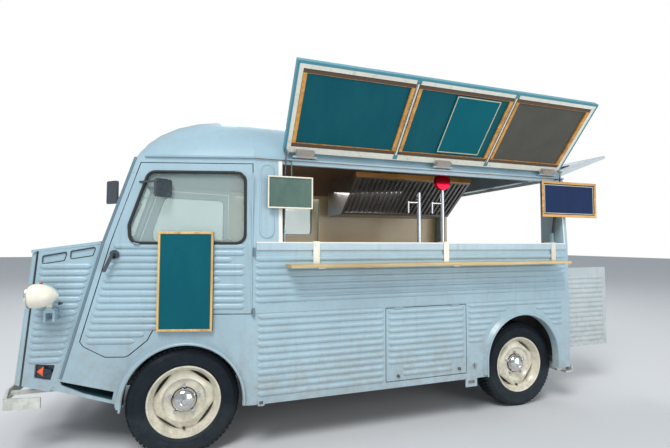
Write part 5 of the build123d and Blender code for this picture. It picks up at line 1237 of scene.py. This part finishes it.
# columns: share of the way from pivot to tip, and how far it stands off the screen
wiper_arm = [(0.0, 7), (0.5, 18), (0.72, 13)]
wiper_blade = [(0.38, 5), (1.08, 5)]
arm_bar, blade_bar = (4, 4), (3.5, 9)
hub_section = [(0, -14), (7, -14), (10, -10), (10, 2)]


def wiper_points(shares, side):
    """Places along a wiper, on the left pane or the right one."""
    places = []
    for share, out in shares:
        y, z = (low + share * (high - low) for low, high in zip(wiper_pivot, wiper_tip))
        places.append(screen_place(y, z, out))
    return places if side < 0 else other_side(places)


screen_angle = math.atan2(screen_lean, screen_height)
screen_facing = Vector((-math.cos(screen_angle), 0, math.sin(screen_angle)))
for side_name, side in (("left", -1), ("right", 1)):
    arm = bent_bar(wiper_points(wiper_arm, side), screen_facing, arm_bar, handle_steel)
    fixed_mesh(f"wiper_arm_{side_name}", arm, "body")
    rubber = bent_bar(wiper_points(wiper_blade, side), screen_facing, blade_bar, seal_rubber)
    fixed_mesh(f"wiper_blade_{side_name}", rubber, "body")
    hub_y, hub_z = wiper_pivot
    hub = turned(hub_section, (screen_x(hub_z), -side * hub_y, hub_z), "X", 20, False)
    piece(f"wiper_hub_{side_name}", hub, handle_steel, "body")

# Tail lamps: a red glass dome in a chromed ring, screwed to the body on each rear corner above the
# bumper stub.
tail_lamp = (2972, 880, 640)
tail_glass = weathered("tail_glass", (0.52, 0.015, 0.012), rough=0.12, coat=0.7, wear=0.15, dust_top=0.3)
ring_section = [(40, 0), (41, 12), (38, 17), (35, 17), (34, 12)]
lens_section = [(34.5, 12), (33, 19), (26, 26), (14, 30), (0, 31)]
piece("tail_rings", turned_pair(ring_section, tail_lamp, "X", 48), chrome, "body")
tail_domes = turned_pair(lens_section, tail_lamp, "X", 48, False)
piece("tail_lenses", tail_domes, tail_glass, "body")

# Seats: two cushions and two backs of foam under brown leather, crowned in the middle, drawn in
# between their corners and closed by a sewn welt all round. Cloth under pressure fills them out.
seat_hide = weathered(
    "seat_hide", (0.085, 0.045, 0.03), dust=(0.16, 0.12, 0.09), rough=0.5, coat=0.15, wear=0.4
)
# columns: name, spans of the pad along x, y and z, and the axis it is crowned along
pad_table = [
    ("seat", (-184, 239), (276, 684), (719, 818), 2),
    ("back", (224, 296), (276, 684), (806, 1324), 0),
]
# shares of a pad's size: at its welts and how it swells between them, then its sides' own size and
# how they bulge at half height, draw in between the corners and round off at them
pad_form = {"welt": 0.72, "crown": 0.22, "side": 0.97, "bulge": 0.03, "draw": 0.025, "corner": 0.03}
pad_steps, welt_radius, swell_cap, stuffing_frames = 16, 0.004, 0.012, 20


def pad_place(unit, spans, crown_axis, side):
    """The place on a pad of a point on the surface of a cube from -1 to 1."""
    flat = [axis for axis in range(3) if axis != crown_axis]
    first, second = (math.cos(unit[axis] * math.pi / 2) for axis in flat)
    scale = {crown_axis: pad_form["welt"] + pad_form["crown"] * first * second}
    bulge = pad_form["bulge"] * (1 - unit[crown_axis] ** 2)
    for axis, other in (flat, reversed(flat)):
        drawn_in = pad_form["draw"] * (1 - unit[other] ** 2)
        scale[axis] = pad_form["side"] + bulge - drawn_in - pad_form["corner"] * unit[other] ** 12
    place = []
    for axis, (low, high) in enumerate(spans):
        place.append((low + high) / 2 + (high - low) / 2 * unit[axis] * scale[axis])
    return at(place[0], side * place[1], place[2])


def cube_point(axis, end, first_value, second_value):
    """A point on the face of the cube at one end of an axis, by its other two measures."""
    first_axis, second_axis = [other for other in range(3) if other != axis]
    unit = [0, 0, 0]
    unit[axis], unit[first_axis], unit[second_axis] = end, first_value, second_value
    return unit


def pad_shape(spans, crown_axis, side):
    """A cushion, and which of its corners lie on the welts."""
    vertices, faces, found, sewn = [], [], {}, []

    def corner(unit):
        key = tuple(round(part, 5) for part in unit)
        if key not in found:
            found[key] = len(vertices)
            vertices.append(pad_place(unit, spans, crown_axis, side))
            edges_met = sum(1 for axis in range(3) if abs(unit[axis]) > 0.999)
            if edges_met > 1 and abs(unit[crown_axis]) > 0.999:
                sewn.append(found[key])
        return found[key]

    for axis in range(3):
        for end in (-1, 1):
            for cell in range(pad_steps**2):
                first, second = divmod(cell, pad_steps)
                ring = []
                for a, b in ((0, 0), (1, 0), (1, 1), (0, 1)):
                    shares = (2 * (first + a) / pad_steps - 1, 2 * (second + b) / pad_steps - 1)
                    ring.append(corner(cube_point(axis, end, *shares)))
                faces.append(tuple(ring))
    return vertices, faces, sewn


def welt_path(spans, crown_axis, side, end):
    """The closed line of one welt, at one end of the crowned axis."""
    path = []
    for start, go in (((-1, -1), (1, 0)), ((1, -1), (0, 1)), ((1, 1), (-1, 0)), ((-1, 1), (0, -1))):
        for step in range(pad_steps):
            shares = (begin + 2 * way * step / pad_steps for begin, way in zip(start, go))
            path.append(pad_place(cube_point(crown_axis, end, *shares), spans, crown_axis, side))
    return path


pads, welts = [], []
for side_name, side in (("left", -1), ("right", 1)):
    for pad_name, *spans, crown_axis in pad_table:
        *shape, sewn = pad_shape(spans, crown_axis, side)
        pad = piece(f"{pad_name}_pad_{side_name}", shape, seat_hide, "body", 75)
        pad.vertex_groups.new(name="welt").add(sewn, 1.0, "REPLACE")
        cloth = pad.modifiers.new("stuffing", "CLOTH")
        cloth.settings.quality = 5
        cloth.settings.use_pressure = True
        cloth.settings.uniform_pressure_force = 4
        cloth.settings.vertex_group_mass = "welt"
        cloth.settings.effector_weights.gravity = 0
        cloth.collision_settings.use_collision = False
        pads.append(pad)
        welts += [closed_bead(welt_path(spans, crown_axis, side, end), welt_radius, 6) for end in (-1, 1)]
for frame_number in range(1, stuffing_frames + 1):
    bpy.context.scene.frame_set(frame_number)
swollen = bpy.context.evaluated_depsgraph_get()
for pad in pads:
    filled = [vertex.co.copy() for vertex in pad.evaluated_get(swollen).data.vertices]
    pad.modifiers.clear()
    for vertex, spot in zip(pad.data.vertices, filled):
        moved = spot - vertex.co
        vertex.co += moved * min(1, swell_cap / max(moved.length, 1e-9))
    smoother = pad.modifiers.new("smooth", "SUBSURF")
    smoother.levels = smoother.render_levels = 1
    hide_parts("seats")
bpy.context.scene.frame_set(1)
seat_welts = piece("seat_welts", joined(welts), seat_hide, "body")
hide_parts("seats")

# Studio: a pale floor, a bright world that reads white behind the van, three soft area lamps
# outside, and a faint one that stands for the light inside the load space.
floor_half = 40
floor_corners = [(-1, -1), (1, -1), (1, 1), (-1, 1)]
floor_mesh = bpy.data.meshes.new("studio_floor")
floor_mesh.from_pydata([(floor_half * x, floor_half * y, 0) for x, y in floor_corners], [], [(0, 1, 2, 3)])
studio_floor = bpy.data.objects.new("studio_floor", floor_mesh)
bpy.context.scene.collection.objects.link(studio_floor)
floor_grey, floor_tree, floor_shader = new_material("floor_grey")
given(floor_tree, floor_shader, Base_Color=(0.62, 0.63, 0.64, 1), Roughness=0.8)
floor_mesh.materials.append(floor_grey)

world = bpy.data.worlds.new("studio")
bpy.context.scene.world = world
world.use_nodes = True
air = world.node_tree
sky = given(air, air.nodes["Background"], Color=(0.86, 0.93, 1.0, 1), Strength=0.55)
backdrop = added(air, "ShaderNodeBackground", Color=(1, 1, 1, 1), Strength=1.0)
ray = added(air, "ShaderNodeLightPath").outputs
seen_directly = worked(air, "MAXIMUM", ray["Is Camera Ray"], ray["Is Transmission Ray"])
shown(air, seen_directly, sky.outputs["Background"], backdrop.outputs["Background"], "World Output")

# columns: name, place in metres, aim, size, watts
lamp_table = [
    ("key", (-4.5, -6.5, 10.0), (0.0, 0.0, 1.0), 4.5, 1000),
    ("fill", (5.0, -10.0, 2.2), (0.5, 0.0, 1.2), 7.0, 430),
    ("back", (2.0, 8.0, 7.0), (0.0, 0.0, 1.5), 6.0, 420),
    ("cabin", tuple(at(1650, 150, 1800)), tuple(at(1700, 250, 1000)), 0.7, 16),
]
for name, spot, target, size, watts in lamp_table:
    light = bpy.data.lights.new(name, "AREA")
    light.size = size
    light.energy = watts
    holder = bpy.data.objects.new(name, light)
    holder.location = spot
    holder.rotation_euler = (Vector(target) - Vector(spot)).to_track_quat("-Z", "Y").to_euler()
    bpy.context.scene.collection.objects.link(holder)

# Camera: solved from the wheels, wall seams and pillars in the photograph; its place is in the
# drawing's millimetres and its angles are in degrees.
camera_place = (30.0, -3615.7, 1293.8)
camera_yaw, camera_pitch, camera_roll = 18.951, 2.670, 0.189
focal_pixels, picture_width = 414.34, 670
camera_data = bpy.data.cameras.new("photo_camera")
camera_data.sensor_width = 36
camera_data.lens = focal_pixels / picture_width * camera_data.sensor_width
camera_data.clip_end = 200
camera = bpy.data.objects.new("photo_camera", camera_data)
yaw, pitch, roll = (math.radians(angle) for angle in (camera_yaw, camera_pitch, camera_roll))
forward = Vector((math.sin(yaw) * math.cos(pitch), math.cos(yaw) * math.cos(pitch), math.sin(pitch)))
right = Vector((math.cos(yaw), -math.sin(yaw), 0))
up = right.cross(forward)
turned_right = right * math.cos(roll) + up * math.sin(roll)
turned_up = up * math.cos(roll) - right * math.sin(roll)
axes = Matrix((turned_right, turned_up, -forward)).transposed()
camera.matrix_world = Matrix.Translation(at(*camera_place)) @ axes.to_4x4()
bpy.context.scene.collection.objects.link(camera)
bpy.context.scene.camera = camera
bpy.context.scene.view_settings.view_transform = "Standard"
